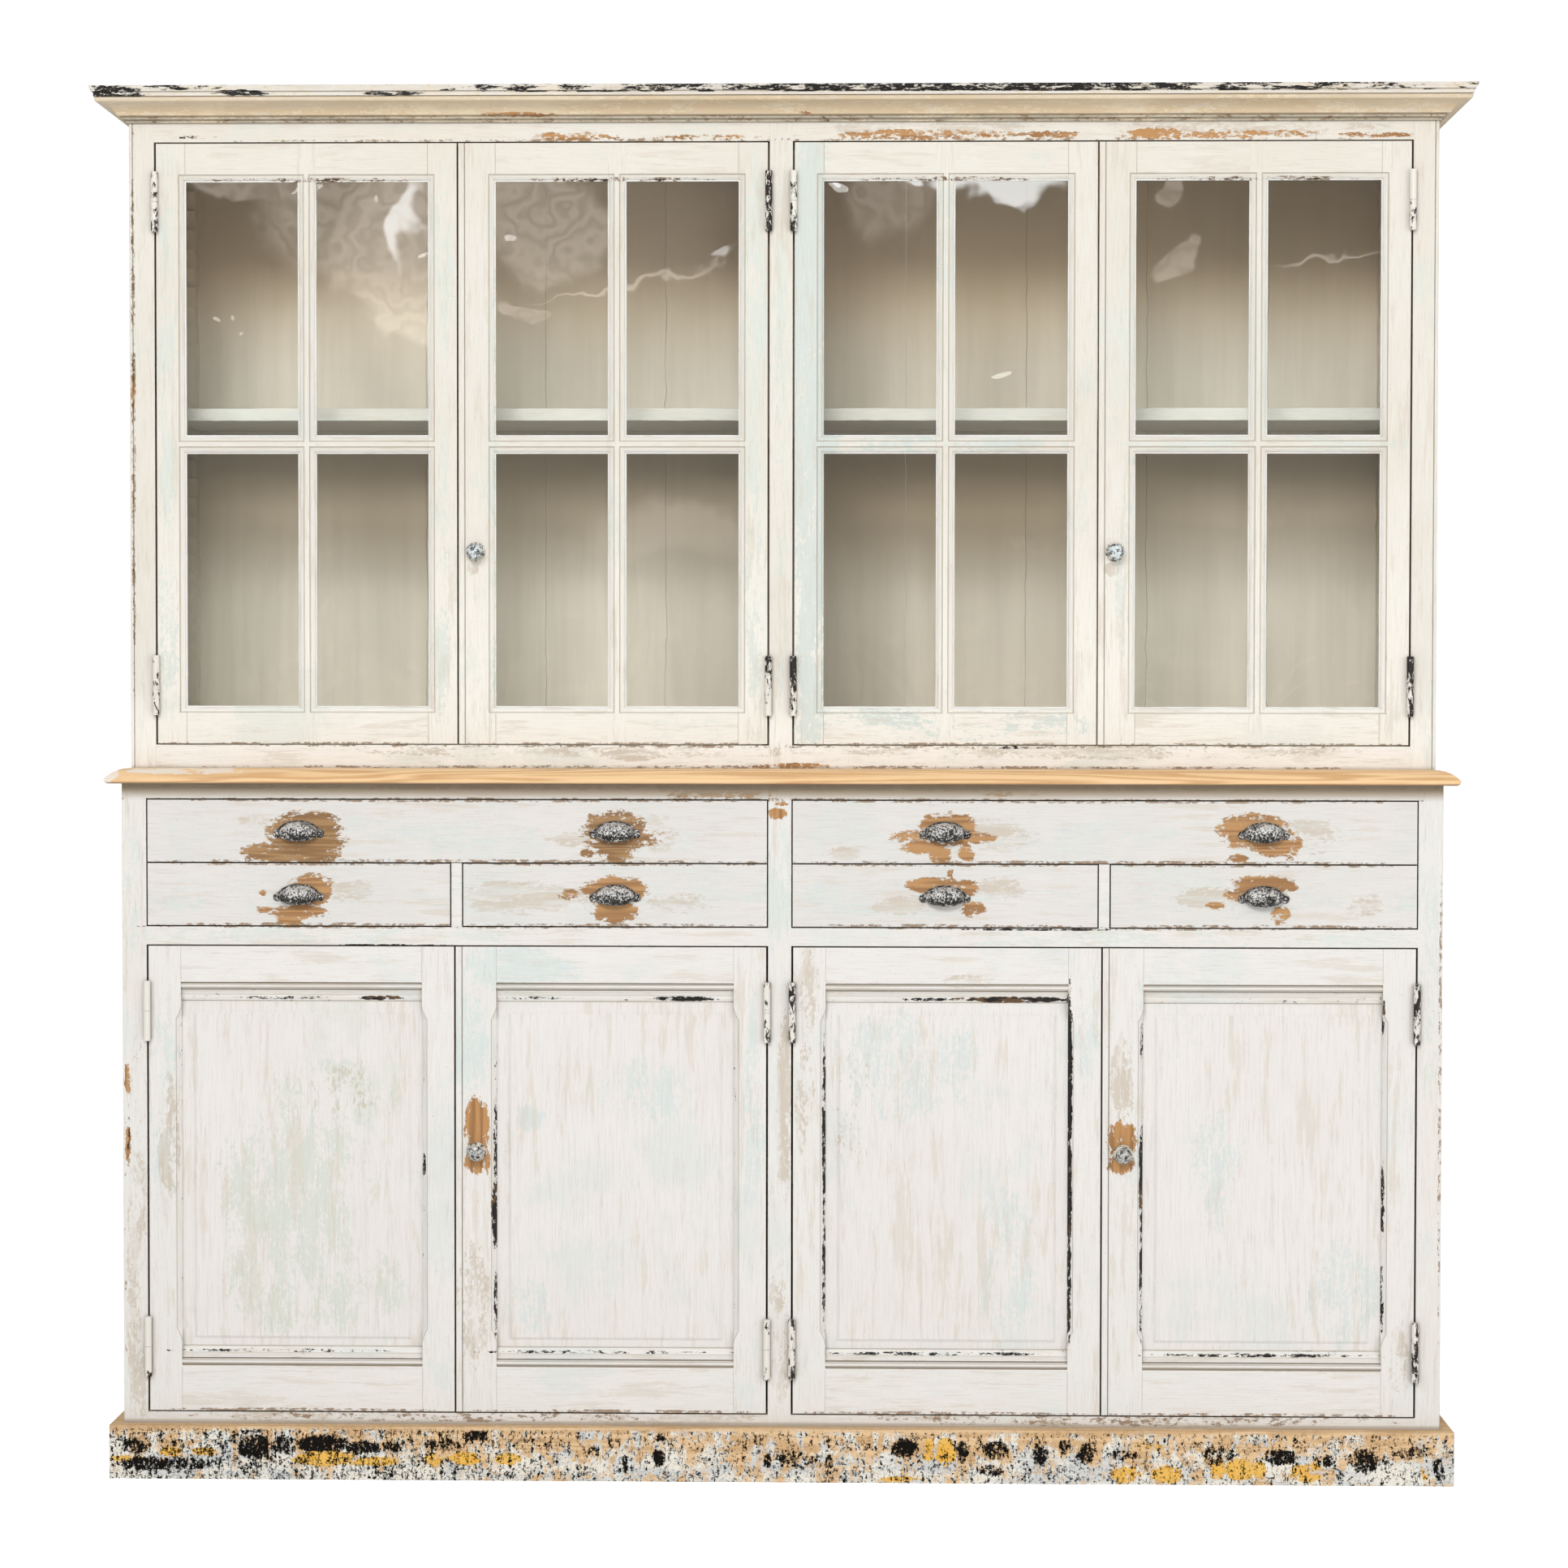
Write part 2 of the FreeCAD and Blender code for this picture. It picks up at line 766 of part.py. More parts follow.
def rack(name):
    """A post whose teeth look towards -Y, with its flat back on the far side."""
    body = new_body(name)
    blank = outline(
        body,
        f"{name}_plan",
        "XY_Plane",
        [(0, 0), (d.rack_thick, 0), (d.rack_thick, d.rack_depth), (0, d.rack_depth)],
    )
    pad(body, f"{name}_post", blank, rack_height)
    notch = outline(
        body,
        f"{name}_notch",
        "YZ_Plane",
        [
            (0, d.rack_first_ledge),
            (d.rack_notch, d.rack_first_ledge),
            (0, d.rack_first_ledge + d.rack_pitch),
        ],
    )
    first = pocket_through(body, f"{name}_first_notch", notch)
    teeth = body.newObject("PartDesign::LinearPattern", f"{name}_teeth")
    teeth.Originals = [first]
    teeth.Direction = (body_plane(body, "Z_Axis"), [""])
    teeth.Mode = "Spacing"
    teeth.Occurrences = rack_teeth
    bind(teeth, Offset=d.rack_pitch)
    body.Tip = teeth
    return body


racks = []
cleats = []
upper_shelves = []
shelf_z = derived(
    "shelf_z",
    upper_sill_z + d.rack_first_ledge + SHELF_LEDGE_COUNT * d.rack_pitch + d.cleat_height,
)
shelf_y = upper_y + d.upper_shelf_setback
cleat_slope = d.rack_notch * d.cleat_height / d.rack_pitch
cleat_length = rack_back_y - rack_front_y - d.rack_depth + 2 * d.rack_notch
for side, bay_x in (("left", -upper_inner), ("right", half_partition)):
    for end, post_x in (("outer", bay_x), ("inner", bay_x + upper_bay - d.rack_thick)):
        front = rack(f"rack_{side}_{end}_front")
        place(front, post_x + d.rack_thick, rack_front_y + d.rack_depth, upper_sill_z, angle=180)
        rear = rack(f"rack_{side}_{end}_back")
        place(rear, post_x, rack_back_y, upper_sill_z)
        racks += [front, rear]
        cleat_y = rack_front_y + d.rack_depth - d.rack_notch
        foot = (0, d.rack_thick, 0, cleat_length)
        head = (0, d.rack_thick, cleat_slope, cleat_length - cleat_slope)
        cleats.append(
            taper(
                f"cleat_{side}_{end}",
                foot,
                head,
                d.cleat_height,
                (post_x, cleat_y + cleat_length, shelf_z - d.cleat_height),
                Vector(1, 0, 0),
                90,
            )
        )
    upper_shelves.append(
        block(
            f"upper_{side}_shelf",
            (bay_x + d.rack_thick + d.slide_clearance, shelf_y, shelf_z),
            (
                upper_bay - 2 * (d.rack_thick + d.slide_clearance),
                inner_back_y - shelf_y,
                d.upper_shelf_thick,
            ),
        )
    )
node("shelf_racks", racks)
node("shelf_bearers", cleats + battens)
node("upper_shelves", upper_shelves)

# Barrel hinges: the lower barrel and its pin stay on the case, and the door's barrel drops
# over the pin. Each has one leaf in the gap beside the door.
barrel_stand = d.barrel_radius + d.hinge_play
leaf_reach = barrel_stand + d.hinge_leaf_width


def barrel(name, axis_x, face_y, split_z, upward, leaf_side):
    """Half a hinge: a barrel and its leaf, which is on leaf_side of the axis."""
    axis_y = face_y - barrel_stand
    gap = d.hinge_play / 2
    low_z = split_z + gap if upward else split_z - gap - d.barrel_length
    tube = rod(f"{name}_tube", d.barrel_radius, d.barrel_length, (axis_x, axis_y, low_z))
    inner = d.hinge_gap / 2 - d.hinge_leaf_thick
    leaf_x = axis_x + inner if leaf_side > 0 else axis_x - d.hinge_gap / 2
    leaf = block(
        f"{name}_leaf",
        (leaf_x, axis_y, low_z),
        (d.hinge_leaf_thick, leaf_reach, d.barrel_length),
    )
    return [tube, leaf], axis_y


def case_barrel(name, axis_x, face_y, split_z, leaf_side):
    pieces, axis_y = barrel(name, axis_x, face_y, split_z, False, leaf_side)
    foot_z = split_z - d.barrel_radius
    pieces.append(
        rod(f"{name}_pin", d.hinge_pin_radius, d.hinge_pin_length + d.barrel_radius,
            (axis_x, axis_y, foot_z))
    )
    return joined(name, pieces)


def door_barrel(name, axis_x, face_y, split_z, leaf_side):
    pieces, axis_y = barrel(name, axis_x, face_y, split_z, True, leaf_side)
    bore = rod(
        f"{name}_bore",
        d.hinge_pin_radius + d.turn_clearance,
        d.hinge_pin_bore + d.cut_overrun,
        (axis_x, axis_y, split_z - d.cut_overrun),
    )
    return cut(name, joined(f"{name}_solid", pieces), bore)


case_barrels = []


def hang(name, axis_x, face_y, low_z, height, inset, hinge_side):
    """The two hinges of a door. hinge_side is -1 where the door hangs by its left edge."""
    door_barrels = []
    for place_name, split_z in (("low", low_z + inset), ("high", low_z + height - inset)):
        label = f"{name}_{place_name}"
        case_barrels.append(
            case_barrel(f"{label}_case_barrel", axis_x, face_y, split_z, hinge_side)
        )
        door_barrels.append(
            door_barrel(f"{label}_door_barrel", axis_x, face_y, split_z, -hinge_side)
        )
    node(f"{name}_hinges", door_barrels)


# Latch knobs: a turned knob on a spindle through the lock stile, with a tongue behind it
# that a quarter turn swings behind the neighbouring door's stile.
flare_z = head_z + d.knob_head_flare


def latch(name, knob_x, face_y, knob_z, inset):
    """inset is how far the knob stands from the door's meeting edge."""
    body = new_body(f"{name}_knob_and_spindle")
    plate_gap = d.slide_clearance
    spindle_end = d.frame_thick + d.latch_play
    tongue_reach = inset + d.meeting_gap + d.latch_hold
    section = outline(
        body,
        f"{name}_turning",
        "XZ_Plane",
        [
            (0, -spindle_end),
            (d.knob_spindle_radius, -spindle_end),
            (d.knob_spindle_radius, plate_gap),
            (d.knob_plate_radius, plate_gap),
            (d.knob_plate_radius, d.knob_plate_thick),
            (d.knob_neck_radius, d.knob_plate_thick),
            (d.knob_neck_radius, head_z),
            (d.knob_head_radius, flare_z),
            (d.knob_crown_radius, knob_reach),
            (0, knob_reach),
        ],
    )
    turning = body.newObject("PartDesign::Revolution", f"{name}_turned")
    turning.Profile = section
    turning.ReferenceAxis = (section, ["V_Axis"])
    turning.Angle = 360.0
    place(body, knob_x, face_y, knob_z, Vector(1, 0, 0), 90)
    tongue = block(
        f"{name}_tongue",
        (knob_x - d.latch_tongue_width / 2, face_y + spindle_end, knob_z - tongue_reach),
        (d.latch_tongue_width, d.latch_tongue_thick, tongue_reach + d.latch_tongue_width / 2),
    )
    node(name, [body, tongue])


def spindle_hole(name, knob_x, face_y, knob_z):
    return rod(
        name,
        d.knob_spindle_radius + d.turn_clearance,
        d.frame_thick + 2 * d.cut_overrun,
        (knob_x, face_y + d.frame_thick + d.cut_overrun, knob_z),
        Vector(1, 0, 0),
        90,
    )


def meeting_line(name, line_x, face_y, low_z, height):
    return block(
        name,
        (line_x, face_y - d.cut_overrun, low_z - d.cut_overrun),
        (d.quirk_width, d.cut_overrun + d.quirk_depth, height + 2 * d.cut_overrun),
    )


# Glazed doors: stiles, rails and crossing bars, moulded round each of four panes in front and
# rebated for the glass behind.
glazed_z = upper_sill_z + d.door_gap
glazed_height = derived("glazed_height", upper_head_z - upper_sill_z - 2 * d.door_gap)
pane_height = derived("pane_height", (glazed_height - 2 * d.glazed_rail - d.glazing_bar) / 2)


def pane_cutter(name, low_x, low_z, width):
    """What is cut away for one pane: moulded mouth, sight opening and glass rebate."""
    steps = []
    for step in range(OVOLO_STEPS + 1):
        angle = math.pi / 2 * step / OVOLO_STEPS
        offset = d.moulding_fillet + (d.moulding_width - d.moulding_fillet) * (1 - math.sin(angle))
        depth = d.moulding_quirk + d.moulding_depth * (1 - math.cos(angle))
        steps.append((offset, depth))
    solids = [
        block(f"{name}_mouth", (low_x - d.moulding_width, upper_y - d.cut_overrun,
                                low_z - d.moulding_width),
              (width + 2 * d.moulding_width, d.cut_overrun + d.moulding_quirk,
               pane_height + 2 * d.moulding_width))
    ]
    for index in range(OVOLO_STEPS):
        (near, near_depth), (far, far_depth) = steps[index], steps[index + 1]
        solids.append(
            taper(
                f"{name}_ovolo_{index + 1}",
                (-near, width + near, -near, pane_height + near),
                (-far, width + far, -far, pane_height + far),
                far_depth - near_depth,
                (low_x, upper_y + near_depth, low_z),
            )
        )
    solids.append(
        block(f"{name}_sight", (low_x, upper_y - d.cut_overrun, low_z),
              (width, d.frame_thick + 2 * d.cut_overrun, pane_height))
    )
    solids.append(
        block(f"{name}_rebate", (low_x - d.glass_rebate, upper_y + d.glass_setback,
                                 low_z - d.glass_rebate),
              (width + 2 * d.glass_rebate, d.frame_thick - d.glass_setback + d.cut_overrun,
               pane_height + 2 * d.glass_rebate))
    )
    return solids


def glazed_door(name, left_x, width, hinge_side):
    left_stile = d.glazed_stile if hinge_side < 0 else d.glazed_lock_stile
    right_stile = d.glazed_stile
    pane_width = (width - left_stile - right_stile - d.glazing_bar) / 2
    inner_x = left_x + left_stile
    bar_x = inner_x + pane_width
    far_x = bar_x + d.glazing_bar
    bar_z = glazed_z + d.glazed_rail + pane_height
    clear_width = width - left_stile - right_stile
    thick = d.frame_thick
    members = {
        "left_stile": ((left_x, upper_y, glazed_z), (left_stile, thick, glazed_height)),
        "right_stile": ((left_x + width - right_stile, upper_y, glazed_z),
                        (right_stile, thick, glazed_height)),
        "bottom_rail": ((inner_x, upper_y, glazed_z), (clear_width, thick, d.glazed_rail)),
        "top_rail": ((inner_x, upper_y, glazed_z + glazed_height - d.glazed_rail),
                     (clear_width, thick, d.glazed_rail)),
        "upright_bar": ((bar_x, upper_y, glazed_z + d.glazed_rail),
                        (d.glazing_bar, thick, 2 * pane_height + d.glazing_bar)),
        "left_bar": ((inner_x, upper_y, bar_z), (pane_width, thick, d.glazing_bar)),
        "right_bar": ((far_x, upper_y, bar_z), (pane_width, thick, d.glazing_bar)),
    }
    cutters = []
    panes = []
    for column, pane_x in (("left", inner_x), ("right", far_x)):
        for level, pane_z in (("low", glazed_z + d.glazed_rail), ("high", bar_z + d.glazing_bar)):
            label = f"{name}_{column}_{level}"
            cutters += pane_cutter(label, pane_x, pane_z, pane_width)
            seat = d.glass_rebate - d.glass_clearance
            panes.append(
                block(f"{label}_pane", (pane_x - seat, upper_y + d.glass_setback, pane_z - seat),
                      (pane_width + 2 * seat, d.glass_thick, pane_height + 2 * seat))
            )
    if hinge_side > 0:
        knob_x = left_x + d.upper_knob_inset
        knob_z = glazed_z + d.upper_knob_height
        cutters.append(spindle_hole(f"{name}_spindle_hole", knob_x, upper_y, knob_z))
        cutters.append(
            meeting_line(f"{name}_meeting_line", left_x + d.quirk_inset, upper_y, glazed_z,
                         glazed_height)
        )
        latch(f"{name}_latch", knob_x, upper_y, knob_z, d.upper_knob_inset)
    cutter = joined(f"{name}_openings", cutters)
    pieces = [
        cut(f"{name}_{label}", block(f"{name}_{label}_blank", low, size), cutter)
        for label, (low, size) in members.items()
    ]
    node(f"{name}_frame", pieces)
    node(f"{name}_glass", panes)
    axis_x = left_x - d.hinge_gap / 2 if hinge_side < 0 else left_x + width + d.hinge_gap / 2
    hang(name, axis_x, upper_y, glazed_z, glazed_height, d.upper_hinge_inset, hinge_side)


# Panelled doors: stiles with stopped chamfers, rails with a bead, a hollow and a roll, and a
# fielded panel held in a groove all round.
panel_door_z = d.base_sill_height + d.door_gap
panel_door_height = derived(
    "panel_door_height", drawer_rail_z - d.base_sill_height - 2 * d.door_gap
)
panel_z = panel_door_z + d.panel_bottom_rail
panel_height = panel_door_height - d.panel_bottom_rail - d.panel_top_rail


def beaded_rail(name, length, height, low, face_up):
    """A rail along X with its moulding on the panel edge, which looks up or down."""
    body = new_body(name)

    def level(distance):
        return height - distance if face_up else distance

    turn = 1 if face_up else -1
    bead_start = d.rail_moulding - d.rail_quirk
    bead_end = bead_start - d.rail_bead
    hollow_start = bead_end - d.rail_groove
    roll_start = hollow_start - d.rail_hollow
    hollow_drop = d.rail_hollow_depth - d.rail_quirk_depth
    hollow_radius = tangent_radius(d.rail_hollow, hollow_drop)
    roll_radius = tangent_radius(roll_start, d.rail_edge_depth - d.rail_hollow_depth)
    groove_back = d.panel_setback + d.panel_edge_thick
    section = outline(
        body,
        f"{name}_section",
        "YZ_Plane",
        [
            (d.frame_thick, level(0)),
            (d.frame_thick, level(height)),
            (0, level(height)),
            (0, level(d.rail_moulding)),
            (d.rail_quirk_depth, level(d.rail_moulding)),
            (d.rail_quirk_depth, level(bead_start)),
            (d.rail_quirk_depth, level(bead_end), d.rail_bead_radius, turn),
            (d.rail_groove_depth, level(bead_end)),
            (d.rail_groove_depth, level(hollow_start)),
            (d.rail_quirk_depth, level(hollow_start)),
            (d.rail_hollow_depth, level(roll_start), hollow_radius, -turn),
            (d.rail_edge_depth, level(0), roll_radius, turn),
            (d.panel_setback, level(0)),
            (d.panel_setback, level(d.panel_tongue)),
            (groove_back, level(d.panel_tongue)),
            (groove_back, level(0)),
        ],
    )
    pad(body, f"{name}_run", section, length)
    place(body, *low)
    return body


def stopped_chamfer(name, arris_x, turn):
    """Cuts the chamfer that runs along a stile's inner edge and curves out at both ends."""
    body = new_body(name)
    depth = d.chamfer_leg * math.sqrt(0.5)
    run_out = d.chamfer_stop
    radius = tangent_radius(run_out, depth)
    shape = outline(
        body,
        f"{name}_side",
        "XZ_Plane",
        [
            (-d.cut_overrun, 0),
            (0, 0),
            (depth, run_out, radius, 1),
            (depth, panel_height - run_out),
            (0, panel_height, radius, 1),
            (-d.cut_overrun, panel_height),
        ],
    )
    pad(body, f"{name}_width", shape, 4 * d.chamfer_leg, both_ways=True)
    place(body, arris_x, front_y, panel_z, angle=turn)
    return body


def panelled_door(name, left_x, width, hinge_side):
    left_stile = d.panel_stile if hinge_side < 0 else d.panel_lock_stile
    right_stile = d.panel_stile
    inner_x = left_x + left_stile
    clear_width = width - left_stile - right_stile
    tongue = d.panel_tongue
    groove = block(
        f"{name}_groove",
        (inner_x - tongue, front_y + d.panel_setback, panel_z - tongue),
        (clear_width + 2 * tongue, d.panel_edge_thick, panel_height + 2 * tongue),
    )
    cutters = [
        groove,
        stopped_chamfer(f"{name}_left_chamfer", inner_x, 135),
        stopped_chamfer(f"{name}_right_chamfer", inner_x + clear_width, 45),
    ]
    if hinge_side > 0:
        knob_x = left_x + d.base_knob_inset
        knob_z = panel_door_z + d.base_knob_height
        cutters.append(spindle_hole(f"{name}_spindle_hole", knob_x, front_y, knob_z))
        cutters.append(
            meeting_line(f"{name}_meeting_line", left_x + d.quirk_inset, front_y, panel_door_z,
                         panel_door_height)
        )
        latch(f"{name}_latch", knob_x, front_y, knob_z, d.base_knob_inset)
    cutter = joined(f"{name}_worked_edges", cutters)
    stiles = [
        cut(
            f"{name}_{label}",
            block(f"{name}_{label}_blank", (low_x, front_y, panel_door_z),
                  (stile, d.frame_thick, panel_door_height)),
            cutter,
        )
        for label, low_x, stile in (
            ("left_stile", left_x, left_stile),
            ("right_stile", left_x + width - right_stile, right_stile),
        )
    ]
    rails = [
        beaded_rail(f"{name}_bottom_rail", clear_width, d.panel_bottom_rail,
                    (inner_x, front_y, panel_door_z), True),
        beaded_rail(f"{name}_top_rail", clear_width, d.panel_top_rail,
                    (inner_x, front_y, panel_z + panel_height), False),
    ]
    node(f"{name}_frame", stiles + rails)
    board = block(
        f"{name}_panel_board",
        (inner_x - tongue, front_y + d.panel_setback, panel_z - tongue),
        (clear_width + 2 * tongue, d.panel_edge_thick, panel_height + 2 * tongue),
    )
    side = d.panel_side_margin
    foot = d.panel_foot_margin
    head = panel_height - d.panel_top_margin
    bevel = d.panel_bevel
    field = taper(
        f"{name}_field",
        (side, clear_width - side, foot, head),
        (side - bevel, clear_width - side + bevel, foot - bevel, head + bevel),
        d.panel_raise,
        (inner_x, front_y + d.panel_setback - d.panel_raise, panel_z),
    )
    node(f"{name}_panel", [joined(f"{name}_fielded_panel", [board, field])])
    axis_x = left_x - d.hinge_gap / 2 if hinge_side < 0 else left_x + width + d.hinge_gap / 2
    hang(name, axis_x, front_y, panel_door_z, panel_door_height, d.base_hinge_inset, hinge_side)


def hang_pair(kind, opening, lip, bays, make):
    """Two doors to an opening: the right one is wider by the lip at its meeting edge."""
    narrow = (opening - 2 * d.hinge_gap - d.meeting_gap - lip) / 2
    for number, low_x in bays:
        first_x = low_x + d.hinge_gap
        make(f"{kind}_door_{number}", first_x, narrow, -1)
        make(f"{kind}_door_{number + 1}", first_x + narrow + d.meeting_gap, narrow + lip, 1)


hang_pair("glazed", upper_opening, d.glazed_lip, ((1, -upper_edge), (3, half_stile)), glazed_door)
hang_pair("panel", base_opening, d.panel_lip, ((1, -base_edge), (3, half_stile)), panelled_door)
node("case_hinge_barrels", case_barrels)

# Cup pulls: a hollow hood with flat facets, open below and behind, that narrows from its drooping
# rim to its top and from the drawer's face to its nose, cast with a sloping ear at each end.
def hood(name, wall, opening):
    """The hood's outside, or the hollow a wall further in that runs on through the open sides."""
    half = d.pull_width / 2 - wall
    top_half = d.pull_top_width / 2 - wall
    nose_half = d.pull_nose_width / 2 - wall
    reach = d.pull_reach - wall
    low = -d.pull_droop - opening
    rising = taper(
        f"{name}_rising",
        (-half, half, -opening, reach),
        (-top_half, top_half, -opening, d.pull_top_reach - wall),
        d.pull_crown - wall - low,
        (0, 0, low),
        Vector(1, 0, 0),
        90,
    )
    height = (low - d.cut_overrun, d.pull_crown + d.cut_overrun)
    nosing = taper(
        f"{name}_nosing",
        (-nose_half, nose_half, *height),
        (-half, half, *height),
        reach + opening,
        (0, -reach, 0),
    )
    return common(name, rising, nosing)


def cup_pull(name, centre_x, centre_z):
    """centre_x and centre_z are the middle of the line between the ears."""
    cup = cut(
        f"{name}_cup",
        hood(f"{name}_outside", as_size(0), as_size(0)),
        hood(f"{name}_inside", d.pull_wall, d.cut_overrun),
    )
    foot = d.pull_ear_reach
    face = foot - d.pull_ear_slope
    ears = [
        taper(f"{name}_{side}_ear", (-face, face, -face, face), (-foot, foot, -foot, foot),
              d.pull_ear_thick, (ear_x, -d.pull_ear_thick, 0))
        for side, ear_x in (("left", -d.pull_ear_spacing / 2), ("right", d.pull_ear_spacing / 2))
    ]
    whole = joined(f"{name}_casting", [cup, *ears])
    place(whole, centre_x, front_y, centre_z)
    return whole


# Drawers: a flush front, low sides, a back and a bottom let into grooves.
side_height = drawer_height - d.runner_height - d.drawer_gap
box_y = front_y + d.drawer_front_thick
side_length = inner_back_y - d.drawer_back_gap - box_y


def drawer(name, left_x, low_z, width, pull_centres):
    side = d.drawer_side_thick
    inner_width = width - 2 * side
    groove_z = low_z + d.drawer_bottom_lift
    bottom = block(
        f"{name}_bottom",
        (left_x + side - d.drawer_groove, box_y - d.drawer_groove, groove_z),
        (inner_width + 2 * d.drawer_groove, side_length + d.drawer_groove - side,
         d.drawer_bottom_thick),
    )
    front = cut(
        f"{name}_front",
        block(f"{name}_front_blank", (left_x, front_y, low_z),
              (width, d.drawer_front_thick, drawer_height)),
        bottom,
    )
    sides = [
        cut(
            f"{name}_{label}_side",
            block(f"{name}_{label}_side_blank", (side_x, box_y, low_z),
                  (side, side_length, side_height)),
            bottom,
        )
        for label, side_x in (("left", left_x), ("right", left_x + width - side))
    ]
    back = block(
        f"{name}_back",
        (left_x + side, box_y + side_length - side, low_z),
        (inner_width, side, side_height),
    )
    node(f"{name}_box", [front, *sides, back, bottom])
    pulls = [
        cup_pull(f"{name}_pull_{index + 1}", centre_x, low_z + drawer_height / 2 - pull_rise)
        for index, centre_x in enumerate(pull_centres)
    ]
    node(f"{name}_pulls", pulls)


pull_rise = (d.pull_crown - d.pull_droop) / 2
short_width = half_run - 2 * d.drawer_gap
long_width = base_opening - 2 * d.drawer_gap
short_z = drawers_z + d.drawer_gap
long_z = short_z + drawer_height + d.drawer_gap
for side, bay_x, first in (("left", -base_edge, 1), ("right", half_stile, 3)):
    centres = (bay_x + half_run / 2, bay_x + base_opening - half_run / 2)
    drawer(f"long_drawer_{side}", bay_x + d.drawer_gap, long_z, long_width, centres)
    for number, centre in zip((first, first + 1), centres):
        drawer(f"short_drawer_{number}", centre - short_width / 2, short_z, short_width, [centre])

doc.recompute()
faults = [item.Label for item in doc.Objects if {"Invalid", "Error"} & set(item.State)]
faults += [item.Label for item in nodes if item.Shape.isNull() or not item.Shape.isValid()]
if faults:
    raise RuntimeError("failed pieces: " + ", ".join(faults))
os.makedirs("parts", exist_ok=True)
for item in nodes:
    item.Shape.exportStep(f"parts/{item.Label}.step")
print(len(nodes), "nodes,", sum(len(item.Shape.Solids) for item in nodes), "solids")
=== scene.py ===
import math
import bmesh
import bpy
from mathutils import Matrix, Vector


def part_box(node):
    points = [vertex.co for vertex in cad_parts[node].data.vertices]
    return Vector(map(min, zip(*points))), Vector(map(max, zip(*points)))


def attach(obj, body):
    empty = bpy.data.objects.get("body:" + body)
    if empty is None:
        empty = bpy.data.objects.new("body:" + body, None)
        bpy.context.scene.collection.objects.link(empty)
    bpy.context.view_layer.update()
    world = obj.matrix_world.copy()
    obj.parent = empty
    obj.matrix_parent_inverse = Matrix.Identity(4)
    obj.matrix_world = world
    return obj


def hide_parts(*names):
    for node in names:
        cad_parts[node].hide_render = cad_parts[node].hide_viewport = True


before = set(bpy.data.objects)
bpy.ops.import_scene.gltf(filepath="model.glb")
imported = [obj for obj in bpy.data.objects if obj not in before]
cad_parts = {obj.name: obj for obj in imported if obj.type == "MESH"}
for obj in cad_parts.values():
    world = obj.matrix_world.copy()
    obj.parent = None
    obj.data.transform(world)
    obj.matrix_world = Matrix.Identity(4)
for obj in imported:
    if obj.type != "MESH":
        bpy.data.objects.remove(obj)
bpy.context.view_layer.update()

# Inside of the lower case: a partition, floors, shelves, runners and a back of upright planks,
# all in bare softwood that has gone brown. They are nailed and housed between the two ends.


def feed(tree, node, feeds):
    """Gives a node's inputs a plain value or another node's output."""
    for key, value in feeds.items():
        if isinstance(value, bpy.types.NodeSocket):
            tree.links.new(value, node.inputs[key])
        else:
            node.inputs[key].default_value = value


def put(tree, kind, feeds=None, **options):
    """Adds a shader node with its options set and its inputs fed."""
    made = tree.nodes.new(kind)
    for name, value in options.items():
        setattr(made, name, value)
    feed(tree, made, feeds or {})
    return made


def calc(tree, operation, first, second=0.0, third=0.0):
    return put(tree, "ShaderNodeMath", {0: first, 1: second, 2: third},
               operation=operation).outputs[0]


def times(tree, first, second):
    return calc(tree, "MULTIPLY", first, second)


def along(tree, operation, first, second):
    return put(tree, "ShaderNodeVectorMath", {0: first, 1: second}, operation=operation).outputs[0]


def ease(tree, value, low, high, start=0.0, end=1.0):
    """A smooth step from start to end while value goes from low to high."""
    return put(tree, "ShaderNodeMapRange",
               {"Value": value, "From Min": low, "From Max": high, "To Min": start, "To Max": end},
               interpolation_type="SMOOTHSTEP").outputs[0]


def mixed(tree, factor, first, second):
    return put(tree, "ShaderNodeMix", {0: factor, 6: first, 7: second},
               data_type="RGBA").outputs[2]


def layered(tree, colour, *layers):
    """Lays (cover, colour) pairs over a colour, each on top of those before it."""
    for cover, laid in layers:
        colour = mixed(tree, cover, colour, laid)
    return colour


def cloudy(tree, vector, scale, detail=3.0, roughness=0.5, distortion=0.0):
    return put(tree, "ShaderNodeTexNoise",
               {"Vector": vector, "Scale": scale, "Detail": detail, "Roughness": roughness,
                "Distortion": distortion}).outputs[0]


def grained(tree, place, upright, squeeze):
    """Positions drawn out along the grain, so that what they carry lies in streaks."""
    lying = along(tree, "MULTIPLY", place, (squeeze, 1.0, 1.0))
    standing = along(tree, "MULTIPLY", place, (1.0, 1.0, squeeze))
    return put(tree, "ShaderNodeMix", {0: upright, 4: lying, 5: standing},
               data_type="VECTOR").outputs[1]


def shared_effect(name, inputs, outputs):
    """An empty node group, what it is given and the node that takes its results."""
    group = bpy.data.node_groups.new(name, "ShaderNodeTree")
    for label, kind, value in inputs:
        group.interface.new_socket(label, in_out="INPUT", socket_type=kind).default_value = value
    for label, kind in outputs:
        group.interface.new_socket(label, in_out="OUTPUT", socket_type=kind)
    given = group.nodes.new("NodeGroupInput").outputs
    return group, given, group.nodes.new("NodeGroupOutput")


def use(tree, group, feeds):
    return put(tree, "ShaderNodeGroup", feeds, node_tree=group).outputs


NUMBER, TINT, PLACE = "NodeSocketFloat", "NodeSocketColor", "NodeSocketVector"

